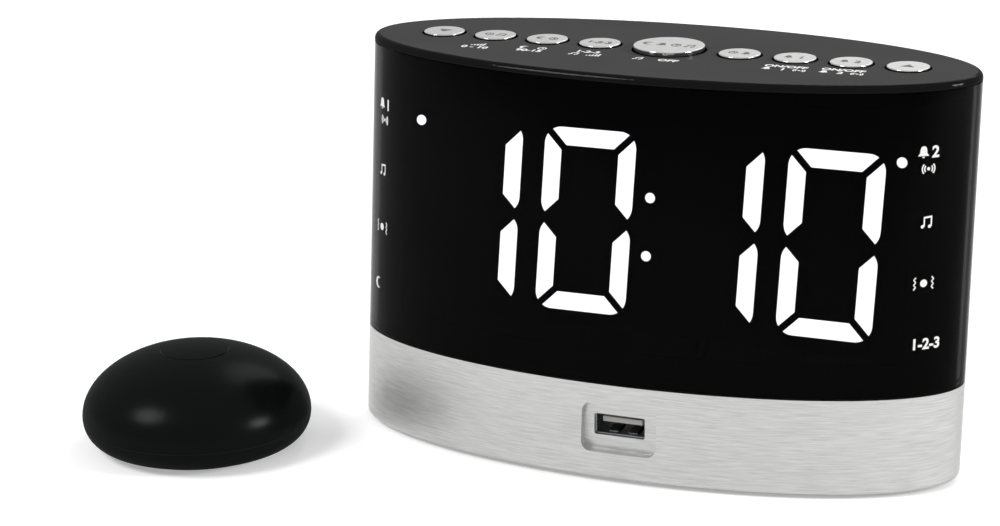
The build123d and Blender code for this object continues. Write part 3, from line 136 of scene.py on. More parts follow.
def start_material(name, **shader_values):
    """New material with one Principled shader, and its tree."""
    material = bpy.data.materials.new(name)
    material.use_nodes = True
    tree = material.node_tree
    tree.nodes.clear()
    shader = add(tree, "ShaderNodeBsdfPrincipled", shader_values)
    add(tree, "ShaderNodeOutputMaterial", {"Surface": shader.outputs["BSDF"]})
    return material, tree, shader


def surface_pattern(tree, size_mm, detail=2.0, stretch=(1, 1, 1), roughness=0.5):
    """Noise from 0 to 1 whose spots are about size_mm across, or longer where stretch is below 1."""
    place = add(tree, "ShaderNodeTexCoord")
    scale = add(tree, "ShaderNodeMapping", {"Vector": place.outputs["Object"], "Scale": stretch})
    noise = add(
        tree,
        "ShaderNodeTexNoise",
        {
            "Vector": scale.outputs["Vector"],
            "Scale": 1 / (size_mm * MM),
            "Detail": detail,
            "Roughness": roughness,
        },
    )
    return noise.outputs["Fac"]


def shade(colour, factor):
    """A linear colour made darker or lighter."""
    return tuple(min(1.0, c * factor) for c in colour[:3]) + (1.0,)


def vary(tree, node, socket, pattern, low, high):
    """Runs a colour or a number of a node from low to high over a pattern, and returns what it linked."""
    is_colour = isinstance(low, tuple)
    first, last = (0, 1) if is_colour else (low, high)
    spread = add(tree, "ShaderNodeMapRange", {"Value": pattern, **MIDDLE, "To Min": first, "To Max": last})
    value = spread.outputs["Result"]
    if is_colour:
        value = add(tree, "ShaderNodeMix", {0: value, 6: low, 7: high}, data_type="RGBA").outputs[2]
    tree.links.new(value, node.inputs[socket])
    return value


def raise_surface(tree, shader, height, depth_mm, strength):
    """Gives a shader a relief from a height pattern."""
    bump = add(tree, "ShaderNodeBump", {"Height": height, "Distance": depth_mm * MM, "Strength": strength})
    tree.links.new(bump.outputs["Normal"], shader.inputs["Normal"])


def moulded(name, colour, roughness, grain_mm=0.5, grain_depth_mm=0.01, drift=0.08, **shader_values):
    """Moulded plastic: a slow drift of tone and gloss, and the grain or slow waves of the mould."""
    material, tree, shader = start_material(name, **shader_values)
    tones = shade(colour, 1 - drift), shade(colour, 1 + drift)
    vary(tree, shader, "Base Color", surface_pattern(tree, DRIFT_MM), *tones)
    gloss_spots = surface_pattern(tree, GLOSS_SPOT_MM, 3)
    vary(tree, shader, "Roughness", gloss_spots, roughness - 0.03, roughness + 0.04)
    # A mould's grain is about 0.1 mm wide and is drawn coarser so that it shows. Polished pieces have waves.
    raise_surface(tree, shader, surface_pattern(tree, grain_mm, 3), grain_depth_mm, 0.6)
    return material


def satin_with_shade_painted_gloss_rim(name, satin, gloss_black_and_rim_shade):
    """Satin moulded face with a polished rim: the coat is clear on the rim and faint on the face. The rim,
    picked by how far its surface turns from straight up, also takes the black colour as painted shade.
    """
    material, tree, shader = start_material(
        name, **{"Specular IOR Level": 0.0, "Coat IOR": 1.5, "Coat Roughness": 0.06, "Roughness": 0.5}
    )
    facing = add(tree, "ShaderNodeNewGeometry").outputs["Normal"]
    upward = add(tree, "ShaderNodeSeparateXYZ", {"Vector": facing}).outputs["Z"]
    edge = {"Value": upward, "From Min": 0.965, "From Max": 0.985}
    face = add(tree, "ShaderNodeMapRange", {**edge, "To Min": 0, "To Max": 1}).outputs["Result"]
    coat = add(tree, "ShaderNodeMapRange", {**edge, "To Min": 0.12, "To Max": 0.02}).outputs["Result"]
    # Painted shade: where the surface turns down from the top, the colour runs from the satin grey to the
    # gloss black.
    tone = add(tree, "ShaderNodeMix", {0: face, 6: gloss_black_and_rim_shade}, data_type="RGBA")
    vary(tree, tone, 7, surface_pattern(tree, DRIFT_MM), shade(satin, 0.95), shade(satin, 1.05))
    tree.links.new(tone.outputs[2], shader.inputs["Base Color"])
    tree.links.new(coat, shader.inputs["Coat Weight"])
    # The etched grain is about 0.1 mm wide, drawn 0.35 mm wide so that it shows.
    raise_surface(tree, shader, surface_pattern(tree, 0.35, 3), 0.018, 0.6)
    return material


def smoked_acrylic(name, tint):
    """Smoked acrylic, polished: seen through, and almost black against a dark inside."""
    # Acrylic's IOR is 1.49. A lower one keeps the window as dark as the real one in a pale room.
    material, tree, shader = start_material(
        name, **{"Transmission Weight": 1.0, "IOR": 1.1, "Roughness": 0.0}
    )
    vary(tree, shader, "Base Color", surface_pattern(tree, 40), shade(tint, 0.97), shade(tint, 1.03))
    return material


def brushed_lacquer(name, colour):
    """Silver lacquer over a grain brushed along the band: bright, with highlights drawn out upright."""
    material, tree, shader = start_material(
        name, **{"Metallic": 1.0, "Anisotropic": 0.55, "Anisotropic Rotation": 0.0}
    )
    # A brush line is about 0.1 mm wide and 6 mm long, drawn 0.25 mm wide so that it shows.
    lines = surface_pattern(tree, 0.25, 2, (0.04, 0.04, 1.0), 0.6)
    vary(tree, shader, "Base Color", lines, shade(colour, 0.8), shade(colour, 1.05))
    vary(tree, shader, "Roughness", lines, 0.3, 0.36)
    raise_surface(tree, shader, lines, 0.004, 0.5)
    tangent = add(tree, "ShaderNodeTangent", direction_type="RADIAL", axis="Z")
    tree.links.new(tangent.outputs["Tangent"], shader.inputs["Tangent"])
    return material


def plated_button(name, colour):
    """Satin chrome plating on a moulded button: frosted on its face, bright round its side."""
    material, tree, shader = start_material(name, Metallic=1.0)
    facing = add(tree, "ShaderNodeNewGeometry").outputs["Normal"]
    upward = add(tree, "ShaderNodeSeparateXYZ", {"Vector": facing}).outputs["Z"]
    polish = add(
        tree, "ShaderNodeMapRange", {"Value": upward, "From Min": 0.7, "From Max": 0.98, "To Min": 0.13}
    )
    vary(tree, polish, "To Max", surface_pattern(tree, 1.5, 3), 0.34, 0.42)
    tree.links.new(polish.outputs["Result"], shader.inputs["Roughness"])
    vary(tree, shader, "Base Color", surface_pattern(tree, 3), shade(colour, 0.96), shade(colour, 1.03))
    # The frosting is about 0.05 mm wide, drawn 0.18 mm wide so that it shows.
    raise_surface(tree, shader, surface_pattern(tree, 0.18, 2), 0.004, 0.5)
    return material


def metal(name, colour, roughness, line_mm=0.2, depth_mm=0.004):
    """Sheet, turned or foil metal with faint marks of how it was drawn, cut or crushed."""
    material, tree, shader = start_material(name, Metallic=1.0)
    lines = surface_pattern(tree, line_mm, 3)
    vary(tree, shader, "Base Color", lines, shade(colour, 0.9), shade(colour, 1.06))
    vary(tree, shader, "Roughness", lines, roughness - 0.05, roughness + 0.07)
    raise_surface(tree, shader, lines, depth_mm, 0.6)
    return material


def glowing(name, colour, strength):
    """Milky light-spreading filling with a lamp behind it: nearly even, with a faint slow drift."""
    material, tree, shader = start_material(name, Roughness=0.5)
    shader.inputs["Emission Strength"].default_value = strength
    tone = vary(tree, shader, "Base Color", surface_pattern(tree, 9), shade(colour, 0.94), colour)
    tree.links.new(tone, shader.inputs["Emission Color"])
    raise_surface(tree, shader, surface_pattern(tree, 0.6, 2), 0.01, 0.3)
    return material


def circuit_board(name):
    """Glass-fibre board under green solder mask: tracks show as slightly lighter lines."""
    material, tree, shader = start_material(name, Roughness=0.35)
    place = add(tree, "ShaderNodeTexCoord")
    tracks = add(
        tree,
        "ShaderNodeTexVoronoi",
        {"Vector": place.outputs["Object"], "Scale": 1 / (3.0 * MM)},
        feature="DISTANCE_TO_EDGE",
        distance="MANHATTAN",
    )
    near = {"Value": tracks.outputs["Distance"], "From Min": 0.05, "From Max": 0.12, "To Min": 1, "To Max": 0}
    share = add(tree, "ShaderNodeMapRange", near).outputs["Result"]
    tones = {0: share, 6: linear("#0c3d22"), 7: linear("#1c6a3c")}
    tone = add(tree, "ShaderNodeMix", tones, data_type="RGBA")
    tree.links.new(tone.outputs[2], shader.inputs["Base Color"])
    raise_surface(tree, shader, share, 0.03, 0.5)
    return material


def printed_ink(name, colour):
    """Screen-printed ink: matt, with a fine grain and a slightly uneven tone."""
    return moulded(name, colour, 0.55, 0.25, 0.01, 0.04)


def make_materials(colours):
    """Every finish by name."""
    made = {}
    # Lid: ABS with an etched face and a polished rim. It gives a soft even grey that ends in a black edge,
    # which is painted shade where the lid turns down from its top.
    made["satin_cover"] = satin_with_shade_painted_gloss_rim("etched_abs_with_shade_painted_rim", colours.lid, colours.gloss_black_and_rim_shade)
    # Rear cabinet: ABS from a polished mould. It gives deep black with sharp reflections.
    made["black_gloss"] = moulded(
        "polished_abs_black", colours.gloss_black_and_rim_shade, 0.1, 8.0, 0.02, 0.1, **{"Specular IOR Level": 0.08}
    )
    # Window: smoked acrylic, cast and polished. It hides what is dark behind it and lets the figures through.
    made["smoked_window"] = smoked_acrylic("smoked_acrylic", colours.smoke)
    # Inner parts, base plate and door: ABS from a spark-eroded mould. It gives a dull, slightly sandy black.
    made["black_plastic"] = moulded(
        "spark_eroded_abs_black", linear("#111112"), 0.6, 0.6, 0.03, **{"Specular IOR Level": 0.2}
    )
    # Frame behind the window: matt black paint that stops the light of the figures.
    made["light_trap"] = moulded(
        "matt_black_paint", linear("#040404"), 0.9, 0.4, 0.03, 0.1, **{"Specular IOR Level": 0.0}
    )
    # Band: silver lacquer with a brushed grain. It gives fine level lines and a soft bright metal.
    made["brushed_silver"] = brushed_lacquer("brushed_silver_lacquer", colours.band)
    # Buttons: satin chrome plating. It gives a frosted face inside a bright edge.
    made["silver_button"] = plated_button("satin_chrome_plating", colours.button)
    # Feet and pad: soft moulded rubber, dull and slightly dusty.
    made["rubber"] = moulded("moulded_rubber", linear("#1b1b1b"), 0.75, 0.8, 0.03, 0.15)
    # Boards: glass fibre under solder mask, green with paler tracks.
    made["board_green"] = circuit_board("solder_mask_green")
    # Fillings of the lit figures and lights: milky moulded plastic, so strongly lit that it shows white
    # through the smoked window.
    made["lens_lit"] = glowing("lit_light_filling", colours.figures, 42.0)
    # Fillings of the unlit ones: the same, almost black with no lamp behind them.
    made["lens_dark"] = moulded("unlit_light_filling", linear("#151517"), 0.6, 0.6, 0.01)
    # Screws, socket shell, contact: zinc-plated or stamped steel, pale with small bright spots.
    made["steel"] = metal("plated_steel", linear("#b9bbbd"), 0.25)
    # Chips: moulded epoxy, a flat charcoal black.
    made["chip_black"] = moulded("epoxy_black", linear("#161616"), 0.6, 0.25, 0.02)
    # Capacitors: shrunk plastic sleeve, smooth dark blue.
    made["capacitor_sleeve"] = moulded("shrunk_sleeve_navy", linear("#1a2340"), 0.35, 3.0, 0.02)
    # Tongue of the socket: moulded nylon, a matt pale grey.
    made["tongue_grey"] = moulded("moulded_nylon_grey", linear("#b9b8b2"), 0.5, 0.4, 0.01)
    # Cone: pressed paper pulp, with fibres.
    made["paper_black"] = moulded("pressed_paper_black", linear("#1c1c1c"), 0.85, 0.5, 0.06, 0.25)
    # Magnet: pressed and fired ferrite, a dull dark grey.
    made["magnet_dark"] = moulded("ferrite", linear("#2d2d2f"), 0.55, 0.3, 0.02)
    # Leads: drawn soft plastic sleeve, smooth red.
    made["lead_insulation"] = moulded("pvc_red", linear("#8f1418"), 0.4, 1.0, 0.01)
    # Headers: undyed moulded nylon, a warm off-white.
    made["plug_white"] = moulded("natural_nylon", linear("#ddd9cb"), 0.5, 0.5, 0.01)
    # Ribbons: drawn soft plastic, a smooth mid grey.
    made["ribbon_grey"] = moulded("pvc_ribbon_grey", linear("#8b8d90"), 0.45, 0.6, 0.02)
    # Shaker: satin moulded ABS, a greenish black with soft broad highlights.
    made["shaker_black"] = moulded(
        "satin_abs_black",
        colours.shaker,
        roughness=0.5,
        grain_mm=0.3,
        grain_depth_mm=0.008,
        drift=0.06,
        **{"Specular IOR Level": 0.0, "Coat Weight": 0.09, "Coat IOR": 1.5, "Coat Roughness": 0.26},
    )
    # Light of the shaker: moulded clear acrylic over a dark inside, black with a sharp glint.
    made["clear_plastic"] = moulded("clear_acrylic_dark", linear("#0a0a0a"), 0.1, 2.0, 0.004)
    # Weight: sintered tungsten, a dull heavy grey.
    made["tungsten"] = metal("sintered_tungsten", linear("#77777b"), 0.4)
    # Cell: aluminium foil pouch with crushed wrinkles.
    made["cell_foil"] = metal("foil_pouch", linear("#c4c6ca"), 0.3, 3.0, 0.08)
    # Marks: screen-printed ink, matt and flat.
    made["white_ink"] = printed_ink("white_ink", colours.ink)
    made["grey_ink"] = printed_ink("grey_ink", colours.button_ink)
    return made


finishes = {}


def finish_of(slot):
    """The material of a slot, made on first use."""
    if not finishes:
        finishes.update(make_materials(bpy.context.scene.clock_colours))
    return finishes[slot]


CAPITAL_SHARE = 0.7
THICKENING_SHARE = 0.045


def add_text(flat, body, height, x, y):
    """Adds generic figures or switch words, with their middle at x, y."""
    curve = bpy.data.curves.new("mark_text", "FONT")
    curve.body = body
    curve.align_x = "CENTER"
    curve.size = height / CAPITAL_SHARE
    curve.resolution_u = 6
    curve.offset = height * THICKENING_SHARE
    thing = bpy.data.objects.new("mark_text", curve)
    bpy.context.scene.collection.objects.link(thing)
    bpy.context.view_layer.update()
    mesh = bpy.data.meshes.new_from_object(thing)
    bpy.data.objects.remove(thing)
    mesh.transform(Matrix.Translation((x, y - height / 2, 0)))
    flat.from_mesh(mesh)
    bpy.data.meshes.remove(mesh)


def add_filled(flat, points):
    """Adds a filled outline."""
    flat.faces.new([flat.verts.new((x, y, 0)) for x, y in points])


def add_line(flat, points, width, closed=False):
    """Adds a line of even width through the points."""
    count = len(points)
    rows = []
    for i, (x, y) in enumerate(points):
        before = points[i - 1] if i or closed else points[i]
        after = points[(i + 1) % count] if i < count - 1 or closed else points[i]
        along = Vector((after[0] - before[0], after[1] - before[1])).normalized()
        side = Vector((-along.y, along.x)) * width / 2
        left = flat.verts.new((x + side.x, y + side.y, 0))
        right = flat.verts.new((x - side.x, y - side.y, 0))
        rows.append((left, right))
    steps = count if closed else count - 1
    for i in range(steps):
        a, b = rows[i], rows[(i + 1) % count]
        flat.faces.new((a[0], a[1], b[1], b[0]))


def round_points(x, y, radius, start, end, steps):
    """Points on an arc, or on a ring without its first point again at the end."""
    closed = abs(end - start) >= 2 * pi - 1e-6
    last = steps if closed else steps - 1
    angles = [start + (end - start) * i / last for i in range(steps)]
    return [(x + radius * cos(angle), y + radius * sin(angle)) for angle in angles]


def triangle_mark(way):
    """Solid arrowhead that points to the back, with way 1, or to the front, with way -1."""
    def draw(flat, size, stroke, x=0.0, y=0.0):
        side = size * 0.7
        tip = size * 0.5
        corners = [(x - side, y - way * tip), (x + side, y - way * tip), (x, y + way * tip)]
        add_filled(flat, corners if way > 0 else list(reversed(corners)))
    return draw


def bell_mark(flat, size, stroke, x=0.0, y=0.0):
    """Small bell."""
    half = size / 2
    right = [(0.10, 0.95), (0.42, 0.78), (0.56, 0.4), (0.62, -0.2), (0.95, -0.62)]
    outline = [(x + half * px, y + half * py) for px, py in right]
    outline += [(x - half * px, y + half * py) for px, py in reversed(right)]
    add_filled(flat, list(reversed(outline)))
    clapper = round_points(x, y - half * 0.74, half * 0.22, pi, 2 * pi, 9)
    add_filled(flat, clapper)


def note_mark(flat, size, stroke, x=0.0, y=0.0):
    """Two joined musical notes."""
    half = size / 2
    for side in (-1, 1):
        head_x = x + side * half * 0.62
        add_filled(flat, round_points(head_x - half * 0.16, y - half * 0.72, half * 0.28, 0, 2 * pi, 17)[:-1])
        add_filled(
            flat,
            [
                (head_x, y - half * 0.72),
                (head_x + stroke * 0.8, y - half * 0.72),
                (head_x + stroke * 0.8, y + half * 0.7),
                (head_x, y + half * 0.7),
            ],
        )
    left = x - half * 0.62
    right = x + half * 0.62 + stroke * 0.8
    add_filled(
        flat, [(left, y + half * 0.55), (right, y + half * 0.7), (right, y + half), (left, y + half * 0.85)]
    )


def wave_mark(flat, size, stroke, x=0.0, y=0.0):
    """Round shaker between two zigzags."""
    half = size / 2
    add_filled(flat, round_points(x, y, half * 0.62, 0, 2 * pi, 25)[:-1])
    for side in (-1, 1):
        middle = x + side * size * 0.78
        zigzag = [
            (middle + side * swing * size * 0.09, y + half * up)
            for up, swing in ((1, -1), (0.6, 1), (0.2, -1), (-0.2, 1), (-0.6, -1), (-1, 1))
        ]
        add_line(flat, zigzag, stroke * 0.8)


def moon_mark(flat, size, stroke, x=0.0, y=0.0):
    """Crescent moon."""
    half = size / 2
    outer = round_points(x, y, half, radians(50), radians(310), 24)
    inner = round_points(x + half * 0.42, y, half * 0.8, radians(288), radians(72), 22)
    tip = len(inner) - 1
    for i in range(len(inner)):
        add_filled(flat, [outer[i], outer[i + 1], inner[tip - min(tip, i + 1)], inner[tip - i]])


def buzzer_mark(flat, size, stroke, x=0.0, y=0.0):
    """Dot with sound arcs each side."""
    half = size / 2
    add_filled(flat, round_points(x, y, half * 0.3, 0, 2 * pi, 17)[:-1])
    for reach in (0.75, 1.2):
        for turn in (0, pi):
            add_line(flat, round_points(x, y, half * reach, turn - 0.75, turn + 0.75, 11), stroke * 0.75)


def volume_mark(flat, size, stroke, x=0.0, y=0.0):
    """Rising steps."""
    half = size / 2
    for step in range(5):
        left = x + (step - 2.5) * half * 0.62
        top = y - half + size * (0.25 + 0.19 * step)
        width = half * 0.36
        add_filled(flat, [(left, y - half), (left + width, y - half), (left + width, top), (left, top)])


def clock_mark(flat, size, stroke, x=0.0, y=0.0):
    """Small clock face."""
    half = size / 2
    add_line(flat, round_points(x, y, half * 0.86, 0, 2 * pi, 25)[:-1], stroke * 0.8, True)
    add_line(flat, [(x, y + half * 0.55), (x, y), (x + half * 0.4, y)], stroke * 0.8)


def power_mark(flat, size, stroke, x=0.0, y=0.0):
    """Open ring with an upright stroke."""
    half = size / 2
    add_line(flat, round_points(x, y, half * 0.8, radians(120), radians(420), 23), stroke * 0.85)
    add_line(flat, [(x, y + half * 0.1), (x, y + half)], stroke * 0.85)


def figures_mark(body):
    """Mark made of plain figures or switch words."""
    def draw(flat, size, stroke, x=0.0, y=0.0):
        add_text(flat, body, size * 0.86, x, y)
    return draw


def row_of(*draws, pitch=1.35):
    """Marks side by side, with a pitch in mark heights."""
    def draw(flat, size, stroke, x=0.0, y=0.0):
        for i, one in enumerate(draws):
            one(flat, size, stroke, x + (i - (len(draws) - 1) / 2) * pitch * size, y)
    return draw


def lines_of(upper, lower, pitch=1.22):
    """Two lines of marks, with a pitch in mark heights."""
    def draw(flat, size, stroke, x=0.0, y=0.0):
        upper(flat, size, stroke, x, y + size * pitch / 2)
        lower(flat, size, stroke, x, y - size * pitch / 2)
    return draw


def slice_marks(flat, width):
    """Cuts flat marks into upright strips, so that they can bend round the window."""
    low = min(v.co.x for v in flat.verts)
    high = max(v.co.x for v in flat.verts)
    for i in range(1, int((high - low) / width) + 1):
        geometry = flat.verts[:] + flat.edges[:] + flat.faces[:]
        bmesh.ops.bisect_plane(flat, geom=geometry, plane_co=(low + i * width, 0, 0), plane_no=(1, 0, 0))


def lay_marks(name, flat, place, material, thickness):
    """Turns flat marks into thin ink on a surface. place gives the point and the outward way."""
    bmesh.ops.remove_doubles(flat, verts=flat.verts[:], dist=1e-7)
    bmesh.ops.triangulate(flat, faces=flat.faces[:])
    for face in flat.faces:
        if face.normal.z < 0:
            face.normal_flip()
    tops, feet = {}, {}
    for vert in flat.verts[:]:
        point, outward = place(vert.co.x, vert.co.y)
        tops[vert] = point + outward * thickness
        feet[vert] = point - outward * thickness * 0.5
    solid = bmesh.new()
    upper = {vert: solid.verts.new(point) for vert, point in tops.items()}
    lower = {vert: solid.verts.new(point) for vert, point in feet.items()}
    for face in flat.faces:
        solid.faces.new([upper[v] for v in face.verts])
        solid.faces.new([lower[v] for v in reversed(face.verts)])
    for edge in flat.edges:
        if len(edge.link_faces) == 1:
            loop = edge.link_loops[0]
            a, b = loop.vert, loop.link_loop_next.vert
            solid.faces.new((upper[b], upper[a], lower[a], lower[b]))
    flat.free()
    bmesh.ops.recalc_face_normals(solid, faces=solid.faces[:])
    return finished(name, solid, material)


def finished(name, solid, material):
    """New object at the origin from a mesh in place."""
    mesh = bpy.data.meshes.new(name)
    solid.to_mesh(mesh)
    solid.free()
    mesh.materials.append(material)
    made = bpy.data.objects.new(name, mesh)
    bpy.context.scene.collection.objects.link(made)
    return made


def round_the_window(middle_x, middle_z):
    """Place on the window's outside by distance round the oval and up, from a middle."""
    start = asin(middle_x / CASE_HALF_WIDTH)

    def place(along, up):
        angle = start
        steps = 24
        for _ in range(steps):
            pace = sqrt((CASE_HALF_WIDTH * cos(angle)) ** 2 + (CASE_HALF_DEPTH * sin(angle)) ** 2)
            angle += along / steps / pace
        z = middle_z + up
        back = (z - band_box[0].z) * CASE_LEAN
        point = CLOCK_MIDDLE + Vector((CASE_HALF_WIDTH * sin(angle), back - CASE_HALF_DEPTH * cos(angle), z))
        rise = CASE_LEAN * cos(angle) / CASE_HALF_DEPTH
        outward = Vector((sin(angle) / CASE_HALF_WIDTH, -cos(angle) / CASE_HALF_DEPTH, rise))
        return point, outward.normalized()

    return place


def on_a_level(middle_x, middle_y, z):
    """Place on a level face from its middle."""
    def place(along, up):
        return Vector((middle_x + along, middle_y + up, z)), Vector((0, 0, 1))
    return place


def dress(nodes, slot):
    """Gives carried nodes a finish."""
    for name in nodes:
        mesh = frame["nodes"][name].data
        mesh.materials.clear()
        mesh.materials.append(finish_of(slot))


def slots_of_record():
    """Nodes by their material slot."""
    groups = {}
    for part in frame["record"]["subparts"]:
        groups.setdefault(part["material_slot"], []).append(part["node"])
    return groups


class CLOCK_OT_dress_frame(bpy.types.Operator):
    """Give every carried piece its real finish."""

    bl_idname = "clock.dress_frame"
    bl_label = "Finish the carried pieces"

    def execute(self, context):
        for slot, nodes in slots_of_record().items():
            dress(nodes, slot)
        dress(["front_frame"], "light_trap")
        # The photo's shaker isn't mirrored in the clock, so no piece left of the clock shows in its gloss.
        for name, node in frame["nodes"].items():
            node.visible_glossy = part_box(name)[1].x > band_box[0].x
        return {"FINISHED"}


class CLOCK_OT_window_marks(bpy.types.Operator):
    """Print the small marks down both sides of the window."""

    bl_idname = "clock.window_marks"
    bl_label = "Window marks"

    def execute(self, context):
        sizes = context.scene.clock_sizes
        size, stroke = sizes.window_mark, sizes.stroke
        strip = 0.4 * MM
        beside, above = size * 0.5, size * 0.68
        first_row, row_step = 80.2 * MM, 14.45 * MM
        reaches_mm = (69.0, 69.3, 69.3, 70.4)
        for side, figure, last in (("left", "1", moon_mark), ("right", "2", figures_mark("1-2-3"))):
            sign = -1 if side == "left" else 1
            for row, draw in enumerate((None, note_mark, wave_mark, last)):
                flat = bmesh.new()
                if draw is None:
                    bell_mark(flat, size, stroke, -beside, above)
                    add_text(flat, figure, size * 0.9, beside * 1.1, above)
                    buzzer_mark(flat, size * 0.9, stroke, 0, -above)
                else:
                    draw(flat, size, stroke)
                slice_marks(flat, strip)
                place = round_the_window(sign * reaches_mm[row] * MM, first_row - row * row_step)
                name = f"window_mark_{side}_{row + 1}"
                made = lay_marks(name, flat, place, finish_of("white_ink"), sizes.ink)
                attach(made, "clock")
        return {"FINISHED"}


class CLOCK_OT_lid_marks(bpy.types.Operator):
    """Print the small marks in front of the buttons."""

    bl_idname = "clock.lid_marks"
    bl_label = "Lid marks"

    def execute(self, context):
        sizes = context.scene.clock_sizes
        on_off = figures_mark("ON/OFF")
        memory_signs = row_of(note_mark, volume_mark, pitch=2.2)
        first_signs = row_of(bell_mark, figures_mark("1"), buzzer_mark, pitch=1.7)
        second_signs = row_of(bell_mark, figures_mark("2"), buzzer_mark, pitch=1.7)
        # Each mark's middle stands at these millimetres to the right of and behind the clock's middle.
        marks = (
            ("volume", -45.5, -2.1, lines_of(volume_mark, figures_mark("0 - 10"))),
            ("sleep", -31.6, -1.2, lines_of(row_of(moon_mark, clock_mark, pitch=2.0), figures_mark("90-15"))),
            ("memory", -17.4, -0.9, lines_of(figures_mark("1-2-3"), memory_signs)),
            ("off", 0.15, -2.1, row_of(note_mark, figures_mark("OFF"), pitch=3.2)),
            ("first_alarm", 32.3, -0.4, lines_of(on_off, first_signs)),
            ("second_alarm", 46.0, 0.5, lines_of(on_off, second_signs)),
        )
        for name, x, y, draw in marks:
            flat = bmesh.new()
            draw(flat, sizes.lid_mark, sizes.stroke)
            place = on_a_level(CLOCK_MIDDLE.x + x * MM, CLOCK_MIDDLE.y + y * MM, lid_box[1].z)
            made = lay_marks("lid_mark_" + name, flat, place, finish_of("white_ink"), sizes.ink)
            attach(made, "clock")
        return {"FINISHED"}


class CLOCK_OT_button_marks(bpy.types.Operator):
    """Print a plain sign on the face of each button."""

    bl_idname = "clock.button_marks"
    bl_label = "Button marks"

    def execute(self, context):
        sizes = context.scene.clock_sizes
        marks = {
            "down": triangle_mark(-1),
            "radio": row_of(power_mark, note_mark),
            "sleep": row_of(moon_mark, clock_mark),
            "memory": figures_mark("1-2-3"),
            "snooze": row_of(moon_mark, bell_mark, clock_mark, note_mark),
            "alarm_one": row_of(clock_mark, bell_mark),
            "alarm_two": row_of(bell_mark, figures_mark("1")),
            "shaker_key": row_of(bell_mark, figures_mark("2")),
            "up": triangle_mark(1),
        }
        for name, draw in marks.items():
            low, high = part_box(name + "_button")
            middle = (low + high) / 2
            flat = bmesh.new()
            draw(flat, sizes.button_mark * (1.1 if name == "snooze" else 1.0), sizes.stroke)
            place = on_a_level(middle.x, middle.y, high.z)
            made = lay_marks("button_mark_" + name, flat, place, finish_of("grey_ink"), sizes.ink)
            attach(made, name + "_key")
        return {"FINISHED"}


def spring_tree(material):
    """Geometry Nodes that set bent leaf springs side by side."""
    tree = bpy.data.node_groups.new("Leaf springs", "GeometryNodeTree")
    sockets = tree.interface
    sockets.new_socket("Geometry", in_out="OUTPUT", socket_type="NodeSocketGeometry")
    for name, kind, value in (
        ("Count", "NodeSocketInt", 2),
        ("Spacing", "NodeSocketFloat", 5.0 * MM),
        ("Width", "NodeSocketFloat", 2.2 * MM),
        ("Length", "NodeSocketFloat", 5.5 * MM),
        ("Rise", "NodeSocketFloat", 0.5 * MM),
        ("Thickness", "NodeSocketFloat", 0.2 * MM),
    ):
        socket = sockets.new_socket(name, in_out="INPUT", socket_type=kind)
        socket.default_value = value
    given = add(tree, "NodeGroupInput").outputs
    leaf = add(
        tree,
        "GeometryNodeMeshGrid",
        {"Size X": given["Width"], "Size Y": given["Length"], "Vertices X": 5, "Vertices Y": 17},
    )
    place = add(tree, "GeometryNodeInputPosition")
    parts = add(tree, "ShaderNodeSeparateXYZ", {"Vector": place.outputs["Position"]})
    turn = add(tree, "ShaderNodeMath", {0: parts.outputs["Y"], 1: given["Length"]}, operation="DIVIDE")
    angle = add(tree, "ShaderNodeMath", {0: turn.outputs[0], 1: pi}, operation="MULTIPLY")
    crown = add(tree, "ShaderNodeMath", {0: angle.outputs[0]}, operation="COSINE")
    lift = add(tree, "ShaderNodeMath", {0: crown.outputs[0], 1: given["Rise"]}, operation="MULTIPLY")
    way = add(tree, "ShaderNodeCombineXYZ", {"Z": lift.outputs[0]})
    bent = add(
        tree, "GeometryNodeSetPosition", {"Geometry": leaf.outputs["Mesh"], "Offset": way.outputs["Vector"]}
    )
    thick = add(
        tree,
        "GeometryNodeExtrudeMesh",
        {"Mesh": bent.outputs["Geometry"], "Offset Scale": given["Thickness"], "Individual": False},
    )
    turned = add(tree, "GeometryNodeFlipFaces", {"Mesh": bent.outputs["Geometry"]})
    whole = add(tree, "GeometryNodeJoinGeometry")
    tree.links.new(thick.outputs["Mesh"], whole.inputs["Geometry"])
    tree.links.new(turned.outputs["Mesh"], whole.inputs["Geometry"])
    closed = add(
        tree, "GeometryNodeMergeByDistance", {"Geometry": whole.outputs["Geometry"], "Distance": 1e-6}
    )
    step = add(tree, "ShaderNodeCombineXYZ", {"X": given["Spacing"]})
    row = add(tree, "GeometryNodeMeshLine", {"Count": given["Count"], "Offset": step.outputs["Vector"]})
    spread = add(
        tree,
        "GeometryNodeInstanceOnPoints",
        {"Points": row.outputs["Mesh"], "Instance": closed.outputs["Geometry"]},
    )
    real = add(tree, "GeometryNodeRealizeInstances", {"Geometry": spread.outputs["Instances"]})
    painted = add(
        tree, "GeometryNodeSetMaterial", {"Geometry": real.outputs["Geometry"], "Material": material}
    )
    add(tree, "NodeGroupOutput", {"Geometry": painted.outputs["Geometry"]})
    return tree


def grown(name, tree, values, place, material):
    """Plain object from a Geometry Nodes tree with the given inputs, moved to its place."""
    holder = bpy.data.objects.new(name + "_holder", bpy.data.meshes.new(name + "_holder"))
    bpy.context.scene.collection.objects.link(holder)
    modifier = holder.modifiers.new("Nodes", "NODES")
    modifier.node_group = tree
    for item in tree.interface.items_tree:
        if item.item_type == "SOCKET" and item.in_out == "INPUT" and item.name in values:
            modifier[item.identifier] = values[item.name]
    bpy.context.view_layer.update()
    ready = holder.evaluated_get(bpy.context.evaluated_depsgraph_get())
    mesh = bpy.data.meshes.new_from_object(ready)
    mesh.name = name
    holder.modifiers.remove(modifier)
    bpy.data.objects.remove(holder)
    mesh.transform(place)
    mesh.materials.clear()
    mesh.materials.append(material)
    made = bpy.data.objects.new(name, mesh)
    bpy.context.scene.collection.objects.link(made)
    return made


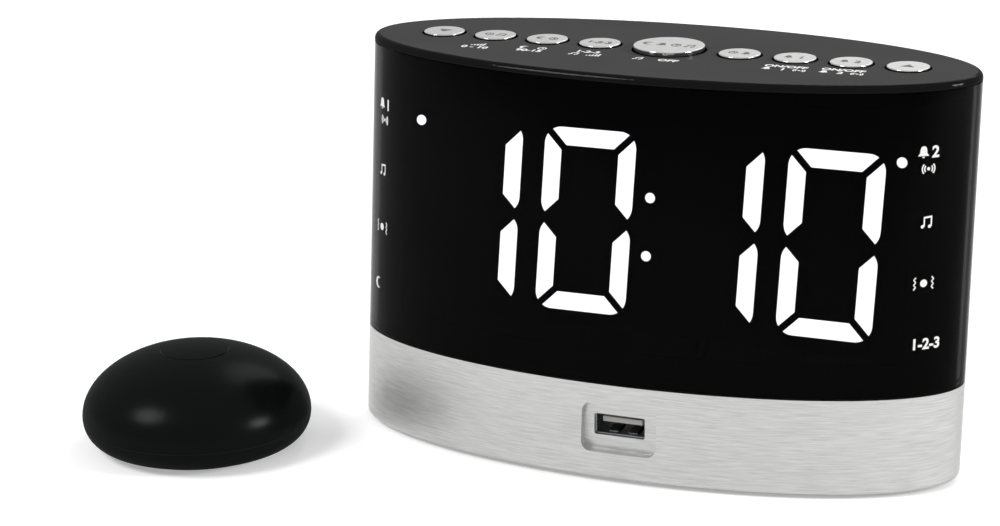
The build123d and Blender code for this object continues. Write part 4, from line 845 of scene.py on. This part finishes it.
class CLOCK_OT_socket_springs(bpy.types.Operator):
    """Set the leaf springs inside the charging socket."""

    bl_idname = "clock.socket_springs"
    bl_label = "Socket springs"

    def execute(self, context):
        sizes = context.scene.clock_sizes
        low, high = usb_box
        middle = (low + high) / 2
        wall = 0.3 * MM
        depth = 4.2 * MM
        spacing = 5.0 * MM
        # Painted shade: the springs deep inside the socket get a much darker steel than the plated steel
        # elsewhere.
        steel = metal("spring_steel_painted_dark", linear("#55555a"), 0.35)
        tree = spring_tree(steel)
        values = {"Count": 2, "Spacing": spacing, "Rise": sizes.spring_rise}
        rows = ("socket_springs_low", low.z + wall, 0), ("socket_springs_high", high.z - wall, pi)
        for name, z, turn in rows:
            across = -spacing / 2 if turn == 0 else spacing / 2
            place = Matrix.Translation((middle.x + across, low.y + depth, z)) @ Matrix.Rotation(turn, 4, "Y")
            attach(grown(name, tree, values, place, steel), "clock")
        return {"FINISHED"}


def seen_white(tree):
    """1 for the rays of the camera, of gloss and of glass, which all show the pale background."""
    path = add(tree, "ShaderNodeLightPath").outputs
    seen = path["Is Camera Ray"]
    for other in ("Is Glossy Ray", "Is Transmission Ray"):
        seen = add(tree, "ShaderNodeMath", {0: seen, 1: path[other]}, operation="MAXIMUM").outputs[0]
    return seen


def stage_material(name, colour, glow):
    """Pale matt surface that looks white to the camera and in reflections, and keeps its shadows."""
    material, tree, shader = start_material(name, **{"Roughness": 0.9, "Specular IOR Level": 0.0})
    shader.inputs["Base Color"].default_value = colour
    shader.inputs["Emission Color"].default_value = (1, 1, 1, 1)
    strength = add(tree, "ShaderNodeMath", {0: seen_white(tree), 1: glow}, operation="MULTIPLY")
    tree.links.new(strength.outputs[0], shader.inputs["Emission Strength"])
    return material


class CLOCK_OT_stage(bpy.types.Operator):
    """Set the pale floor, the plain studio light and the camera."""

    bl_idname = "clock.stage"
    bl_label = "Stage, light and camera"

    def execute(self, context):
        scene = context.scene
        half = scene.clock_sizes.floor
        ground = bmesh.new()
        bmesh.ops.create_grid(ground, x_segments=1, y_segments=1, size=half)
        floor = finished("floor", ground, stage_material("pale_floor", linear("#e8e8e8"), 0.35))

        world = bpy.data.worlds.new("pale_room")
        scene.world = world
        world.use_nodes = True
        tree = world.node_tree
        tree.nodes.clear()
        strength = add(tree, "ShaderNodeMapRange", {"Value": seen_white(tree), "To Min": 0.45, "To Max": 1.0})
        glow = {"Color": (1, 1, 1, 1), "Strength": strength.outputs["Result"]}
        light = add(tree, "ShaderNodeBackground", glow)
        add(tree, "ShaderNodeOutputWorld", {"Surface": light.outputs["Background"]})

        for name, place, size, watts in (
            ("key_light", (-0.62, -0.7, 0.9), 0.5, 9.0),
            ("right_light", (1.0, 0.05, 0.42), 0.32, 7.0),
            ("back_light", (0.1, 0.9, 0.9), 0.8, 5.0),
        ):
            lamp = bpy.data.lights.new(name, "AREA")
            lamp.shape = "DISK"
            lamp.size = size
            lamp.energy = watts
            thing = bpy.data.objects.new(name, lamp)
            thing.location = CLOCK_MIDDLE + Vector(place)
            aim = Vector((0, 0, 0.05)) - Vector(place)
            thing.rotation_euler = aim.to_track_quat("-Z", "Y").to_euler()
            scene.collection.objects.link(thing)

        around, above, roll = 0.395, 0.293, -0.012
        back = Vector((sin(around) * cos(above), -cos(around) * cos(above), sin(above)))
        across = Vector((cos(around), sin(around), 0))
        upward = back.cross(across)
        right = across * cos(roll) + upward * sin(roll)
        up = upward * cos(roll) - across * sin(roll)
        lens = bpy.data.cameras.new("camera")
        lens.lens = 103.13
        lens.sensor_width = 36.0
        lens.clip_start = 0.05
        lens.clip_end = 50.0
        camera = bpy.data.objects.new("camera", lens)
        scene.collection.objects.link(camera)
        turn = Matrix((right, up, back)).transposed().to_4x4()
        stand = CLOCK_MIDDLE + Vector((0.22331, -0.63386, 0.24949))
        camera.matrix_world = Matrix.Translation(stand) @ turn
        scene.camera = camera
        scene.view_settings.view_transform = "Standard"
        return {"FINISHED"}


STEPS = (
    CLOCK_OT_stage,
    CLOCK_OT_dress_frame,
    CLOCK_OT_window_marks,
    CLOCK_OT_lid_marks,
    CLOCK_OT_button_marks,
    CLOCK_OT_socket_springs,
)


class CLOCK_PT_panel(bpy.types.Panel):
    """The steps that dress the clock."""

    bl_idname = "CLOCK_PT_panel"
    bl_label = "Alarm clock"
    bl_space_type = "VIEW_3D"
    bl_region_type = "UI"
    bl_category = "Alarm clock"

    def draw(self, context):
        for group in (context.scene.clock_colours, context.scene.clock_sizes):
            for name in group.__annotations__:
                self.layout.prop(group, name)
        for step in STEPS:
            self.layout.operator(step.bl_idname)


CLASSES = (ClockColours, ClockSizes, *STEPS, CLOCK_PT_panel)


def register():
    """Registers the properties, the operators and the panel."""
    for kind in CLASSES:
        bpy.utils.register_class(kind)
    bpy.types.Scene.clock_colours = bpy.props.PointerProperty(type=ClockColours)
    bpy.types.Scene.clock_sizes = bpy.props.PointerProperty(type=ClockSizes)


def unregister():
    """Takes back what register did."""
    del bpy.types.Scene.clock_sizes
    del bpy.types.Scene.clock_colours
    for kind in reversed(CLASSES):
        bpy.utils.unregister_class(kind)


def main():
    """Makes everything in order."""
    register()
    bpy.ops.clock.stage()
    bpy.ops.clock.dress_frame()
    bpy.ops.clock.window_marks()
    bpy.ops.clock.lid_marks()
    bpy.ops.clock.button_marks()
    bpy.ops.clock.socket_springs()


if __name__ == "__main__":
    main()
